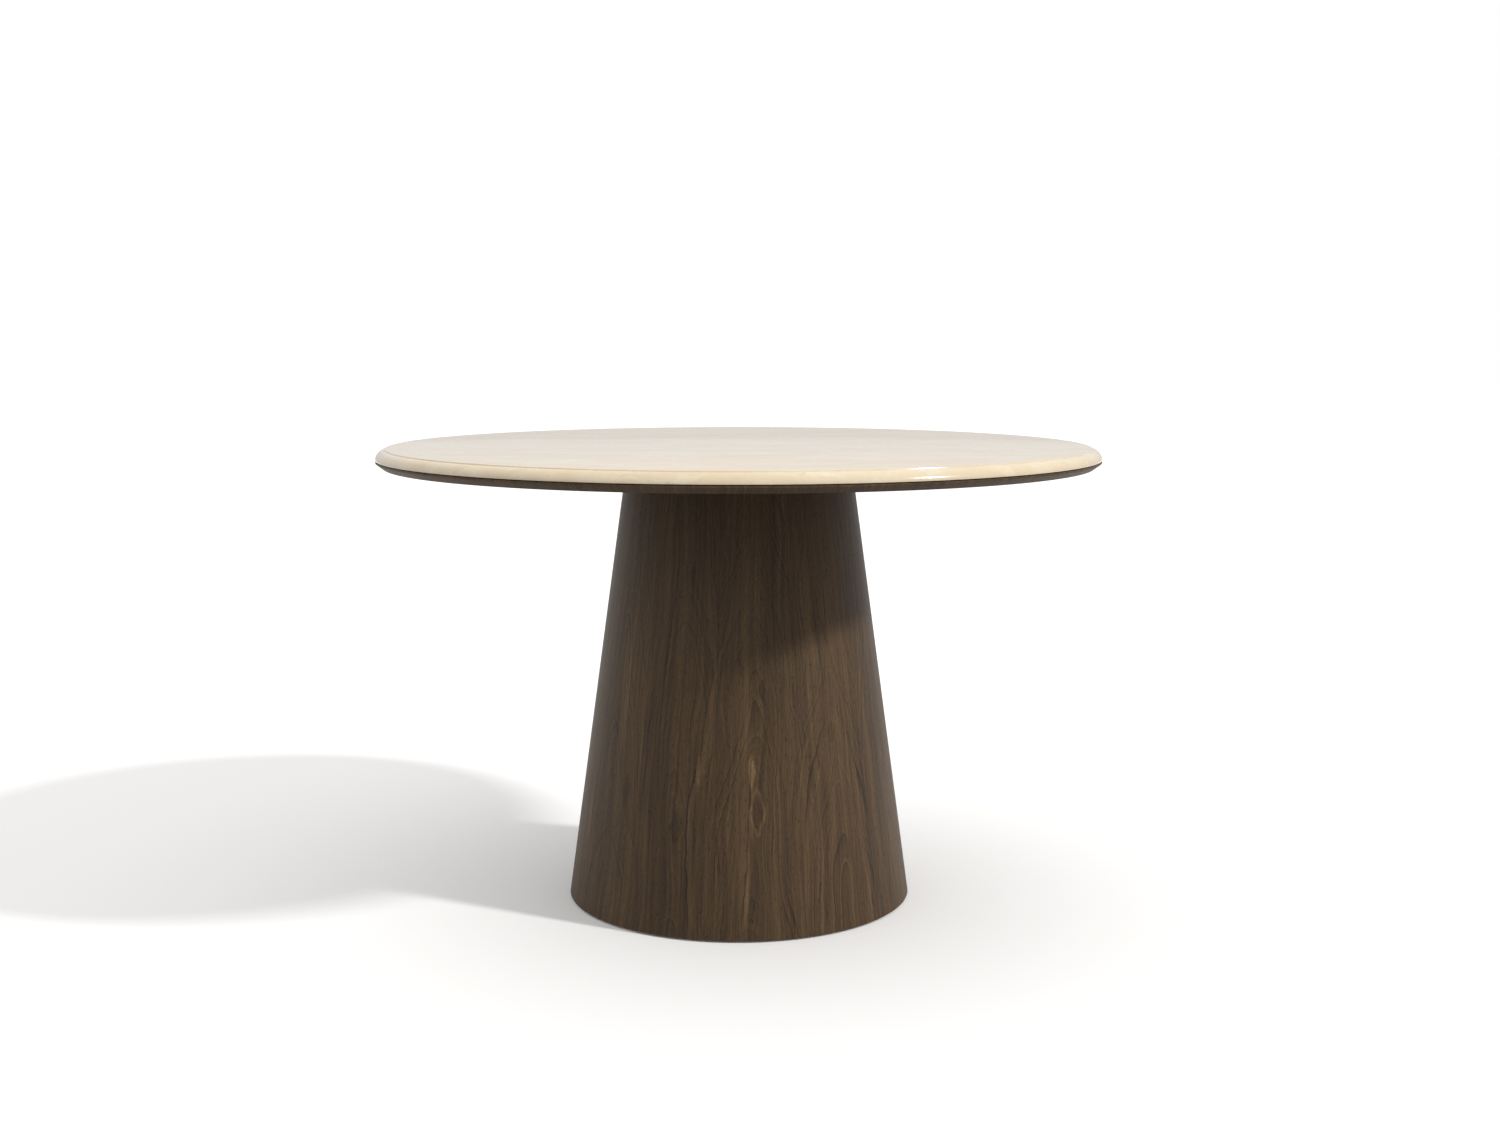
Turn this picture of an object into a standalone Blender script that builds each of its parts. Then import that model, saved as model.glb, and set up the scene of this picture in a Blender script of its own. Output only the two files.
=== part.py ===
"""Round pedestal dining table: a stone top on a bevelled walnut sub-top, carried by a hollow walnut cone.

The stone lies on silicone pads let into the sub-top. A plywood disc screwed under the sub-top drops into
the mouth of the cone, and four bolts pull it down on the pedestal's head plate. The cone is a bent plywood
shell with a walnut skin, stiffened by eight ribs and two rings. Four levelling feet screw into the lower
ring.

Metres, +Z up. The origin is on the floor, under the middle of the table.
"""

import math

import bmesh
import bpy
from mathutils import Matrix, Vector

# Driving dimensions
TABLE_HEIGHT = 0.762
TOP_DIAMETER = 1.2192
STONE_THICKNESS = 0.018
STONE_GAP = 0.0015  # daylight between the stone and the sub-top, kept by the pads
SUBTOP_THICKNESS = 0.012
CONE_TOP_RADIUS = 0.192
CONE_BOTTOM_RADIUS = 0.288
CONE_FLOOR_GAP = 0.003
PLY = 0.018  # plywood for the rings and plates
GAP = 0.0003  # air left between pieces that touch on the real table

# Stone edge: a small step down from the flat, then a flattened quarter round that is widest at its foot
STEP_WIDTH = 0.0020
STEP_DEPTH = 0.0020
ROUND_WIDTH = 0.0151
ROUND_POWER = 1.18  # 1 would be a true quarter round, 2 a straight slope
STONE_ARRIS = 0.0005  # the flat that eases the stone's lower edge
ARRIS = 0.0010  # the small flats that ease the other sharp edges

# Sub-top
SUBTOP_INSET = 0.0008  # how far the walnut edge stands inside the stone's rim
LIP_HEIGHT = 0.0030  # the upright strip above the bevel
BEVEL_WIDTH = 0.0123
VENEER = 0.0006

# Silicone pads
PAD_COUNT = 8
PAD_RADIUS = 0.010
PAD_CIRCLE = 0.420
PAD_POCKET_DEPTH = 0.0015
PAD_POCKET_CLEARANCE = 0.0005

# Pedestal
SHELL_THICKNESS = 0.012
MOUTH_CLEARANCE = 0.0015  # between the disc under the top and the cone's mouth
RIB_COUNT = 8
RIB_THICKNESS = 0.015
RIB_DEPTH = 0.045
RIB_SHELL_GAP = 0.0006
MID_RING_HEIGHT = 0.360
MID_RING_WIDTH = 0.045
BASE_RING_HEIGHT = 0.016
BASE_RING_INNER_RADIUS = 0.190

# Fasteners
SCREW_COUNT = 8
SCREW_CIRCLE = 0.150
SCREW_LENGTH = 0.024
SCREW_HEAD_RADIUS = 0.0040
SCREW_HEAD_RIM = 0.0005
SCREW_SHANK_RADIUS = 0.0020
SCREW_TIP = 0.004
BOLT_COUNT = 4
BOLT_CIRCLE = 0.110
BOLT_RADIUS = 0.0040
BOLT_CLEARANCE = 0.0006
BOLT_REACH = 0.0145  # how far a bolt goes into the disc above the head plate
HEX_RADIUS = 0.0075  # across corners, for a 13 mm spanner
BOLT_HEAD_HEIGHT = 0.0053
WASHER_RADIUS = 0.012
WASHER_THICKNESS = 0.0016
INSERT_RADIUS = 0.006
INSERT_LENGTH = 0.015

# Levelling feet
FOOT_COUNT = 4
FOOT_CIRCLE = 0.232
FOOT_PAD_RADIUS = 0.018
FOOT_PAD_HEIGHT = 0.008
FOOT_PAD_RIM = 0.003
FOOT_PAD_NECK_RADIUS = 0.0085
FOOT_STEM_RADIUS = 0.004
FOOT_STEM_TOP = 0.045
FOOT_SEAT_DEPTH = 0.0038
FOOT_SEAT_CLEARANCE = 0.0008
SOCKET_FLANGE_RADIUS = 0.012
SOCKET_FLANGE_THICKNESS = 0.0017
SOCKET_BARREL_RADIUS = 0.0055
SOCKET_BARREL_TOP = 0.031
THREAD_CLEARANCE = 0.0006

# Facets round a full turn
STEPS_LARGE = 72
STEPS_SMALL = 16
STEPS_SCREW = 8
STONE_ROUND_POINTS = 5

# Worked-out sizes
TOP_RADIUS = TOP_DIAMETER / 2
STONE_BOTTOM = TABLE_HEIGHT - STONE_THICKNESS
SUBTOP_TOP = STONE_BOTTOM - STONE_GAP
SUBTOP_BOTTOM = SUBTOP_TOP - SUBTOP_THICKNESS
CORE_BOTTOM = SUBTOP_BOTTOM + VENEER + GAP
CONE_TOP = SUBTOP_BOTTOM - GAP
CONE_SLOPE = (CONE_BOTTOM_RADIUS - CONE_TOP_RADIUS) / (CONE_TOP - CONE_FLOOR_GAP)
SLANT = math.hypot(1, CONE_SLOPE)  # horizontal width of a wall, per unit of its real thickness
DISC_TOP = CORE_BOTTOM - GAP
DISC_BOTTOM = DISC_TOP - PLY
HEAD_TOP = DISC_BOTTOM - GAP
HEAD_BOTTOM = HEAD_TOP - PLY
MID_RING_TOP = MID_RING_HEIGHT + PLY
BASE_RING_TOP = BASE_RING_HEIGHT + PLY
EIGHTH_TURN = math.tau / 8


# Radii of the cone's layers at a height
def cone_radius(z):
    """The outside of the walnut skin."""
    return CONE_TOP_RADIUS + (CONE_TOP - z) * CONE_SLOPE


def skin_inner_radius(z):
    return cone_radius(z) - VENEER * SLANT


def shell_outer_radius(z):
    return skin_inner_radius(z) - GAP


def shell_inner_radius(z):
    return shell_outer_radius(z) - SHELL_THICKNESS * SLANT


def around(count, radius, start=0.0):
    """(x, y, angle) of count places spaced evenly on a circle."""
    for i in range(count):
        angle = start + i * math.tau / count
        yield radius * math.cos(angle), radius * math.sin(angle), angle


# Scene helpers
def clear_scene():
    for old in list(bpy.data.objects):
        bpy.data.objects.remove(old)


def new_collection(name, hidden=False):
    made = bpy.data.collections.new(name)
    made.hide_render = hidden
    bpy.context.scene.collection.children.link(made)
    return made


def material(name, colour, roughness, metallic=0.0):
    made = bpy.data.materials.new(name)
    made.use_nodes = True
    made.diffuse_color = (*colour, 1.0)
    shader = made.node_tree.nodes["Principled BSDF"]
    shader.inputs["Base Color"].default_value = (*colour, 1.0)
    shader.inputs["Roughness"].default_value = roughness
    shader.inputs["Metallic"].default_value = metallic
    return made


def place(name, data, finish, location=(0, 0, 0), turn=0.0, parent=None):
    """An object of the table, on the given mesh or curve."""
    if finish.name not in data.materials:
        data.materials.append(finish)
    made = bpy.data.objects.new(name, data)
    made.location = location
    made.rotation_euler.z = turn
    made.parent = parent
    parts.objects.link(made)
    return made


def evaluated_mesh(obj):
    """The object's mesh with its modifiers applied. The object itself is removed."""
    bpy.context.view_layer.update()
    graph = bpy.context.evaluated_depsgraph_get()
    mesh = bpy.data.meshes.new_from_object(obj.evaluated_get(graph))
    bpy.data.objects.remove(obj)
    return mesh


def shade_round(mesh):
    mesh.shade_smooth()
    mesh.set_sharp_from_angle(angle=math.radians(30))
    return mesh


# Shapes
def turned(name, outline, steps):
    """A turned mesh.

    The (radius, z) outline runs down the outer side. It closes on itself, or starts and ends on the axis.
    """
    solid = outline[0][0] == 0
    mesh = bpy.data.meshes.new(name)
    edges = [(i, i + 1) for i in range(len(outline) - 1)]
    if not solid:
        edges.append((len(outline) - 1, 0))
    mesh.from_pydata([(r, 0, z) for r, z in outline], edges, [])
    blank = bpy.data.objects.new(name, mesh)
    cutters.objects.link(blank)
    screw = blank.modifiers.new("Turn", "SCREW")
    screw.steps = screw.render_steps = steps
    screw.use_merge_vertices = True
    screw.merge_threshold = 0.00001
    made = evaluated_mesh(blank)
    made.name = name
    return shade_round(made)


def ring_outline(outer, inner, bottom, top):
    """A ring's section. outer and inner are functions of the height."""
    return [(outer(top), top), (outer(bottom), bottom), (inner(bottom), bottom), (inner(top), top)]


def disc(name, radius, bottom, top, steps):
    return turned(name, [(0, top), (radius, top), (radius, bottom), (0, bottom)], steps)


def prism(name, radius, bottom, top, sides):
    """An upright prism or cylinder on the Z axis."""
    shape = bmesh.new()
    bmesh.ops.create_cone(
        shape,
        cap_ends=True,
        segments=sides,
        radius1=radius,
        radius2=radius,
        depth=top - bottom,
        matrix=Matrix.Translation((0, 0, (top + bottom) / 2)),
    )
    mesh = bpy.data.meshes.new(name)
    shape.to_mesh(mesh)
    shape.free()
    return mesh


def block(name, size, centre):
    shape = bmesh.new()
    bmesh.ops.create_cube(shape, size=1, matrix=Matrix.Translation(centre) @ Matrix.Diagonal((*size, 1)))
    mesh = bpy.data.meshes.new(name)
    shape.to_mesh(mesh)
    shape.free()
    return mesh


def joined(name, first, second):
    """Two meshes made one body by a Boolean union."""
    objects = [bpy.data.objects.new(name, mesh) for mesh in (first, second)]
    for obj in objects:
        cutters.objects.link(obj)
    union = objects[0].modifiers.new("Join", "BOOLEAN")
    union.operation = "UNION"
    union.object = objects[1]
    made = evaluated_mesh(objects[0])
    bpy.data.objects.remove(objects[1])
    made.name = name
    return shade_round(made)


def cutter(name, mesh, places):
    """One hidden object that holds a copy of the mesh at each (x, y, angle)."""
    shape = bmesh.new()
    for x, y, angle in places:
        copy = mesh.copy()
        copy.transform(Matrix.Translation((x, y, 0)) @ Matrix.Rotation(angle, 4, "Z"))
        shape.from_mesh(copy)
        bpy.data.meshes.remove(copy)
    merged = bpy.data.meshes.new(name)
    shape.to_mesh(merged)
    shape.free()
    made = bpy.data.objects.new(name, merged)
    made.hide_render = True
    made.display_type = "WIRE"
    cutters.objects.link(made)
    return made


def cut(obj, *tools):
    for tool in tools:
        boolean = obj.modifiers.new(tool.name, "BOOLEAN")
        boolean.operation = "DIFFERENCE"
        boolean.object = tool


# Table top
def stone_outline():
    flat = TOP_RADIUS - ROUND_WIDTH - STEP_WIDTH
    round_start = TOP_RADIUS - ROUND_WIDTH
    round_foot = STONE_BOTTOM + STONE_ARRIS
    round_height = TABLE_HEIGHT - STEP_DEPTH - round_foot
    outline = [(0, TABLE_HEIGHT), (flat, TABLE_HEIGHT), (round_start, TABLE_HEIGHT - STEP_DEPTH)]
    for i in range(1, STONE_ROUND_POINTS + 1):
        angle = math.pi / 2 * i / STONE_ROUND_POINTS
        across = math.sin(angle) ** ROUND_POWER
        up = max(math.cos(angle), 0) ** ROUND_POWER
        outline.append((round_start + ROUND_WIDTH * across, round_foot + round_height * up))
    outline.append((TOP_RADIUS - STONE_ARRIS, STONE_BOTTOM))
    outline.append((0, STONE_BOTTOM))
    return outline


def make_stone():
    place("stone_top", turned("stone_top", stone_outline(), STEPS_LARGE), stone)
    pad_bottom = SUBTOP_TOP - PAD_POCKET_DEPTH + GAP
    pad = shade_round(prism("stone_pad", PAD_RADIUS, pad_bottom, STONE_BOTTOM - GAP, STEPS_SMALL))
    for i, (x, y, _) in enumerate(around(PAD_COUNT, PAD_CIRCLE, EIGHTH_TURN / 2), 1):
        place(f"stone_pad_{i}", pad, silicone, (x, y, 0))


def make_subtop(screw_holes):
    rim = TOP_RADIUS - SUBTOP_INSET
    foot = rim - BEVEL_WIDTH
    bevel_top = SUBTOP_TOP - LIP_HEIGHT
    bevel_slope = BEVEL_WIDTH / (bevel_top - SUBTOP_BOTTOM)
    band_width = VENEER * math.hypot(1, bevel_slope)

    core_rim = rim - band_width - GAP
    core_foot = core_rim - (bevel_top - CORE_BOTTOM) * bevel_slope
    outline = [
        (0, SUBTOP_TOP),
        (core_rim, SUBTOP_TOP),
        (core_rim, bevel_top),
        (core_foot, CORE_BOTTOM),
        (0, CORE_BOTTOM),
    ]
    core = place("subtop_core", turned("subtop_core", outline, STEPS_LARGE), fibreboard)
    pocket_radius = PAD_RADIUS + PAD_POCKET_CLEARANCE
    pocket = prism("pad_pocket", pocket_radius, SUBTOP_TOP - PAD_POCKET_DEPTH, STONE_BOTTOM, STEPS_SMALL)
    cut(core, cutter("pad_pockets", pocket, around(PAD_COUNT, PAD_CIRCLE, EIGHTH_TURN / 2)), screw_holes)

    band = [
        (rim, SUBTOP_TOP),
        (rim, bevel_top),
        (foot, SUBTOP_BOTTOM),
        (foot - band_width, SUBTOP_BOTTOM),
        (rim - band_width, bevel_top),
        (rim - band_width, SUBTOP_TOP),
    ]
    place("subtop_edge_veneer", turned("subtop_edge_veneer", band, STEPS_LARGE), walnut)

    sheet_outer = foot - band_width - GAP
    sheet_inner = DISC_RADIUS + GAP
    sheet_top = SUBTOP_BOTTOM + VENEER
    sheet = ring_outline(lambda z: sheet_outer, lambda z: sheet_inner, SUBTOP_BOTTOM, sheet_top)
    place("subtop_underside_veneer", turned("subtop_underside_veneer", sheet, STEPS_LARGE), walnut)


# Joint between the top and the pedestal
DISC_RADIUS = shell_inner_radius(CONE_TOP) - MOUTH_CLEARANCE


def screw_outline(grow=0.0):
    """A countersunk wood screw that points up from its head. grow widens it all round, for its hole."""
    bottom = DISC_BOTTOM + GAP
    countersink = bottom + SCREW_HEAD_RIM
    top = bottom + SCREW_LENGTH
    return [
        (0, top + grow),
        (SCREW_SHANK_RADIUS + grow, top - SCREW_TIP + grow),
        (SCREW_SHANK_RADIUS + grow, countersink + SCREW_HEAD_RADIUS - SCREW_SHANK_RADIUS + grow),
        (SCREW_HEAD_RADIUS + grow, countersink + grow),
        (SCREW_HEAD_RADIUS + grow, bottom - grow),
        (0, bottom - grow),
    ]


def make_screw_holes():
    hole = turned("screw_hole", screw_outline(grow=2 * GAP), STEPS_SCREW)
    return cutter("screw_holes", hole, around(SCREW_COUNT, SCREW_CIRCLE, EIGHTH_TURN / 2))


def make_top_joint(screw_holes):
    insert_bottom = DISC_BOTTOM + GAP
    insert_top = insert_bottom + INSERT_LENGTH
    bore = BOLT_RADIUS + BOLT_CLEARANCE

    plate = disc("mount_disc", DISC_RADIUS, DISC_BOTTOM, DISC_TOP, STEPS_LARGE)
    mount_disc = place("mount_disc", plate, plywood)
    insert_hole = prism("insert_hole", INSERT_RADIUS + GAP, DISC_BOTTOM - GAP, insert_top + GAP, STEPS_SMALL)
    cut(mount_disc, cutter("insert_holes", insert_hole, around(BOLT_COUNT, BOLT_CIRCLE)), screw_holes)

    head = [
        (0, HEAD_TOP),
        (shell_inner_radius(HEAD_TOP) - GAP, HEAD_TOP),
        (shell_inner_radius(HEAD_BOTTOM) - GAP, HEAD_BOTTOM),
        (0, HEAD_BOTTOM),
    ]
    head_plate = place("head_plate", turned("head_plate", head, STEPS_LARGE), plywood)
    bolt_hole = prism("bolt_hole", bore, HEAD_BOTTOM - GAP, HEAD_TOP + GAP, STEPS_SMALL)
    cut(head_plate, cutter("bolt_holes", bolt_hole, around(BOLT_COUNT, BOLT_CIRCLE)))

    screw = turned("disc_screw", screw_outline(), STEPS_SCREW)
    for i, (x, y, _) in enumerate(around(SCREW_COUNT, SCREW_CIRCLE, EIGHTH_TURN / 2), 1):
        place(f"disc_screw_{i}", screw, zinc, (x, y, 0))

    insert = turned(
        "threaded_insert",
        ring_outline(lambda z: INSERT_RADIUS, lambda z: bore, insert_bottom, insert_top),
        STEPS_SMALL,
    )
    washer_top = HEAD_BOTTOM - GAP
    washer_bottom = washer_top - WASHER_THICKNESS
    washer = turned(
        "bolt_washer",
        ring_outline(lambda z: WASHER_RADIUS, lambda z: bore, washer_bottom, washer_top),
        STEPS_SMALL,
    )
    head_top = washer_bottom - GAP
    bolt_head = prism("top_bolt", HEX_RADIUS, head_top - BOLT_HEAD_HEIGHT, head_top, 6)
    shank_bottom = head_top - BOLT_HEAD_HEIGHT / 2
    shank = prism("shank", BOLT_RADIUS, shank_bottom, DISC_BOTTOM + BOLT_REACH, STEPS_SMALL)
    bolt = joined("top_bolt", bolt_head, shank)
    for i, (x, y, _) in enumerate(around(BOLT_COUNT, BOLT_CIRCLE), 1):
        place(f"threaded_insert_{i}", insert, brass, (x, y, 0))
        place(f"bolt_washer_{i}", washer, zinc, (x, y, 0))
        place(f"top_bolt_{i}", bolt, zinc, (x, y, 0))


# Pedestal
def make_cone():
    skin = ring_outline(cone_radius, skin_inner_radius, CONE_FLOOR_GAP, CONE_TOP)
    place("cone_veneer", turned("cone_veneer", skin, STEPS_LARGE), walnut)
    shell = ring_outline(shell_outer_radius, shell_inner_radius, CONE_FLOOR_GAP, CONE_TOP)
    place("cone_shell", turned("cone_shell", shell, STEPS_LARGE), plywood)


def make_rings():
    def against_shell(z):
        return shell_inner_radius(z) - GAP

    def mid_inner(z):
        return against_shell(MID_RING_HEIGHT) - MID_RING_WIDTH

    mid = ring_outline(against_shell, mid_inner, MID_RING_HEIGHT, MID_RING_TOP)
    mid_ring = place("mid_ring", turned("mid_ring", mid, STEPS_LARGE), plywood)
    slot_start = mid_inner(0) + MID_RING_WIDTH / 2
    slot_size = (MID_RING_WIDTH, RIB_THICKNESS + 2 * GAP, 2 * PLY)
    slot_middle = (MID_RING_HEIGHT + MID_RING_TOP) / 2
    slot = block("rib_slot", slot_size, (slot_start + MID_RING_WIDTH / 2, 0, slot_middle))
    turns = [(0, 0, angle) for _, _, angle in around(RIB_COUNT, 0, EIGHTH_TURN / 2)]
    cut(mid_ring, cutter("rib_slots", slot, turns))

    base = ring_outline(against_shell, lambda z: BASE_RING_INNER_RADIUS, BASE_RING_HEIGHT, BASE_RING_TOP)
    base_ring = place("base_ring", turned("base_ring", base, STEPS_LARGE), plywood)
    hole_radius = SOCKET_BARREL_RADIUS + GAP
    hole = prism("socket_hole", hole_radius, BASE_RING_HEIGHT - GAP, BASE_RING_TOP + GAP, STEPS_SMALL)
    cut(base_ring, cutter("socket_holes", hole, around(FOOT_COUNT, FOOT_CIRCLE, EIGHTH_TURN)))


def rib_outline():
    """The rib's face: radius along, height up. Its inner half is notched for the middle ring."""
    bottom, top = BASE_RING_TOP + GAP, HEAD_BOTTOM - GAP

    def outer(z):
        return shell_inner_radius(z) - RIB_SHELL_GAP

    def inner(z):
        return outer(z) - RIB_DEPTH

    slot_start = shell_inner_radius(MID_RING_HEIGHT) - GAP - MID_RING_WIDTH / 2
    notch_low, notch_high = MID_RING_HEIGHT - GAP, MID_RING_TOP + GAP
    return [
        (outer(bottom), bottom),
        (outer(top), top),
        (inner(top), top),
        (inner(notch_high), notch_high),
        (slot_start + GAP, notch_high),
        (slot_start + GAP, notch_low),
        (inner(notch_low), notch_low),
        (inner(bottom), bottom),
    ]


def make_ribs():
    outline = rib_outline()
    for i, (_, _, angle) in enumerate(around(RIB_COUNT, 0, EIGHTH_TURN / 2), 1):
        curve = bpy.data.curves.new(f"rib_{i}", "CURVE")
        curve.dimensions = "2D"
        curve.fill_mode = "BOTH"
        curve.extrude = RIB_THICKNESS / 2
        spline = curve.splines.new("POLY")
        spline.points.add(len(outline) - 1)
        for point, (r, z) in zip(spline.points, outline):
            point.co = (r, z, 0, 1)
        spline.use_cyclic_u = True
        rib = place(f"rib_{i}", curve, plywood)
        rib.rotation_euler = (math.pi / 2, 0, angle)


# Levelling feet
def make_feet():
    """Each foot is a steel pad that keeps still on the floor and a threaded stem that turns in it.

    The stem screws into a socket in the base ring, so that turning it drives the pad down.
    """
    flange_top = BASE_RING_HEIGHT - GAP
    flange_bottom = flange_top - SOCKET_FLANGE_THICKNESS
    bore = FOOT_STEM_RADIUS + THREAD_CLEARANCE
    socket = turned(
        "foot_socket",
        [
            (SOCKET_BARREL_RADIUS, SOCKET_BARREL_TOP),
            (SOCKET_BARREL_RADIUS, flange_top),
            (SOCKET_FLANGE_RADIUS, flange_top),
            (SOCKET_FLANGE_RADIUS, flange_bottom),
            (bore, flange_bottom),
            (bore, SOCKET_BARREL_TOP),
        ],
        STEPS_SMALL,
    )

    seat_bottom = FOOT_PAD_HEIGHT - FOOT_SEAT_DEPTH
    seat_radius = FOOT_STEM_RADIUS + FOOT_SEAT_CLEARANCE
    pad = turned(
        "foot_pad",
        [
            (0, seat_bottom),
            (seat_radius, seat_bottom),
            (seat_radius, FOOT_PAD_HEIGHT),
            (FOOT_PAD_NECK_RADIUS, FOOT_PAD_HEIGHT),
            (FOOT_PAD_RADIUS - ARRIS, FOOT_PAD_RIM + ARRIS),
            (FOOT_PAD_RADIUS, FOOT_PAD_RIM),
            (FOOT_PAD_RADIUS, ARRIS / 2),
            (FOOT_PAD_RADIUS - ARRIS / 2, 0),
            (0, 0),
        ],
        STEPS_SMALL,
    )

    hexagon = prism("foot_stem", HEX_RADIUS, FOOT_PAD_HEIGHT + 2 * GAP, flange_bottom - GAP, 6)
    shaft = turned(
        "shaft",
        [
            (0, FOOT_STEM_TOP),
            (FOOT_STEM_RADIUS - ARRIS, FOOT_STEM_TOP),
            (FOOT_STEM_RADIUS, FOOT_STEM_TOP - ARRIS),
            (FOOT_STEM_RADIUS, seat_bottom + GAP),
            (0, seat_bottom + GAP),
        ],
        STEPS_SMALL,
    )
    stem = joined("foot_stem", hexagon, shaft)

    for i, (x, y, angle) in enumerate(around(FOOT_COUNT, FOOT_CIRCLE, EIGHTH_TURN), 1):
        axis = bpy.data.objects.new(f"foot_axis_{i}", None)
        axis.location = (x, y, 0)
        parts.objects.link(axis)
        place(f"foot_socket_{i}", socket, zinc, parent=axis)
        place(f"foot_stem_{i}", stem, zinc, turn=angle, parent=axis)
        place(f"foot_pad_{i}", pad, nylon, parent=axis)


clear_scene()
parts = new_collection("pedestal_dining_table")
cutters = new_collection("cutters")

stone = material("cream_stone", (0.80, 0.68, 0.49), 0.12)
walnut = material("walnut_veneer", (0.085, 0.055, 0.036), 0.45)
fibreboard = material("fibreboard", (0.36, 0.25, 0.15), 0.85)
plywood = material("birch_plywood", (0.62, 0.44, 0.26), 0.65)
silicone = material("clear_silicone", (0.75, 0.78, 0.78), 0.25)
zinc = material("zinc_steel", (0.62, 0.63, 0.65), 0.35, 1.0)
brass = material("brass", (0.72, 0.53, 0.24), 0.3, 1.0)
nylon = material("black_nylon", (0.02, 0.02, 0.022), 0.5)

make_stone()
holes_for_screws = make_screw_holes()
make_subtop(holes_for_screws)
make_top_joint(holes_for_screws)
make_cone()
make_rings()
make_ribs()
make_feet()
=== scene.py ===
# %% [markdown]
# # The looks of a round pedestal table
#
# The table is a thin slab of cream stone on a dark walnut sub-top, carried by a hollow cone of walnut
# veneer. The CAD model gives every size and every moving body. This script makes the surfaces that a person
# sees, from the polished edge of the stone down to the threads of the levelling feet. It is written as a
# lesson: each step says what the piece is, how it could be made and why it is made this way.

# %% Load the frame
import math

import bmesh
import bpy
from mathutils import Matrix, Vector


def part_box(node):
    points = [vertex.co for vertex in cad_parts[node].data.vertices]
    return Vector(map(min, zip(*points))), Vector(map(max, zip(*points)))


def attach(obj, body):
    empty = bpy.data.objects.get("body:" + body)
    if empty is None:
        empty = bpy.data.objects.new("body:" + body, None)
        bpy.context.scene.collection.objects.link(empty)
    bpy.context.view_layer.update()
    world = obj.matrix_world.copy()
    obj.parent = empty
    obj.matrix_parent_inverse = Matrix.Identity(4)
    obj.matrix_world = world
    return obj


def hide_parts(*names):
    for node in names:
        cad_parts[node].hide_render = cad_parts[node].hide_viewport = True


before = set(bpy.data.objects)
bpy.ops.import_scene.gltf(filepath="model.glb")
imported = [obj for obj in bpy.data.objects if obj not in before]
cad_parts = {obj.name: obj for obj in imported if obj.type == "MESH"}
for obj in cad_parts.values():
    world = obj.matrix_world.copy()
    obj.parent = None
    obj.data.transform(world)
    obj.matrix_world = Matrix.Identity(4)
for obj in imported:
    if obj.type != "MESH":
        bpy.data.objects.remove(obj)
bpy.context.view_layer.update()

scene = bpy.context.scene

# %% [markdown]
# ## The camera
#
# A table is best seen from a little above its own height, so that the top shows as a thin ellipse and the
# cone shows its full height. The lens is a normal one and the camera looks almost level, which keeps the
# cone's sides at their true slope. A vertical shift then moves the view down, until the foot of the table is
# in the frame and there is still air above the top.

# %% Camera
LENS = 44.33
DOWNWARD_TILT = 1.573  # degrees
camera = bpy.data.objects.new("camera", bpy.data.cameras.new("camera"))
camera.data.lens = LENS
camera.data.shift_y = -0.12
camera.location = (0.0186, -3.147, 0.9547)
camera.rotation_euler = (math.radians(90 - DOWNWARD_TILT), 0, 0)
scene.collection.objects.link(camera)
scene.camera = camera
print("lens", LENS, "mm")

# %% [markdown]
# ## Studio light
#
# One low sun with a soft edge comes from the right and the front. Its angle decides how far the top's
# shadow reaches down the cone, and how the shadow lies on the floor. All other light comes from a white
# room. The camera sees that room as pure white, while the table sees a dome that is dimmer near the horizon
# and on the right, which is what gives polished stone a quiet reflection in place of a white glare.

# %% Light
scene.view_settings.view_transform = "Standard"
SUN_DIRECTION = Vector((1.344, -0.551, 1.0))
sun = bpy.data.objects.new("sun", bpy.data.lights.new("sun", "SUN"))
sun.data.energy = 2.0
sun.data.angle = math.radians(4.5)
sun.data.color = (1.0, 0.975, 0.94)
sun.rotation_euler = SUN_DIRECTION.to_track_quat("Z", "Y").to_euler()
scene.collection.objects.link(sun)
print("sun elevation", round(math.degrees(math.atan2(SUN_DIRECTION.z, SUN_DIRECTION.xy.length)), 1))

# %% [markdown]
# ## Node trees as arithmetic
#
# A material or a Geometry Nodes tree is a formula. Wiring it by hand hides the formula, so a small class
# wraps a socket and lets Python's operators add the Math nodes. `1 - mask` then means what it says. Every
# other node goes through one method that takes its type, its settings and what its sockets hold.


# %% Value and Graph
NUDGE = 0.0001  # added before a number is rounded down, so that a whole number stays whole


class Value:
    """A socket that gives a number, a vector, a colour or a geometry. Arithmetic on it adds Math nodes."""

    def __init__(self, graph, socket):
        self.graph = graph
        self.socket = socket

    def out(self, name):
        """Another output of the same node."""
        return Value(self.graph, self.socket.node.outputs[name])

    def math(self, operation, *others):
        return self.graph.math(operation, self, *others)

    def __add__(self, other):
        return self.math("ADD", other)

    def __sub__(self, other):
        return self.math("SUBTRACT", other)

    def __rsub__(self, other):
        return self.graph.math("SUBTRACT", other, self)

    def __mul__(self, other):
        return self.math("MULTIPLY", other)

    def __truediv__(self, other):
        return self.math("DIVIDE", other)

    def __pow__(self, other):
        return self.math("POWER", other)

    __radd__ = __add__
    __rmul__ = __mul__

    def smooth(self, low, high):
        """0 up to low, 1 from high on, and an S curve between. low may be the larger one."""
        curve = {"interpolation_type": "SMOOTHSTEP"}
        ends = {"From Min": low, "From Max": high}
        return self.graph.node("ShaderNodeMapRange", curve, {"Value": self, **ends})


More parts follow.
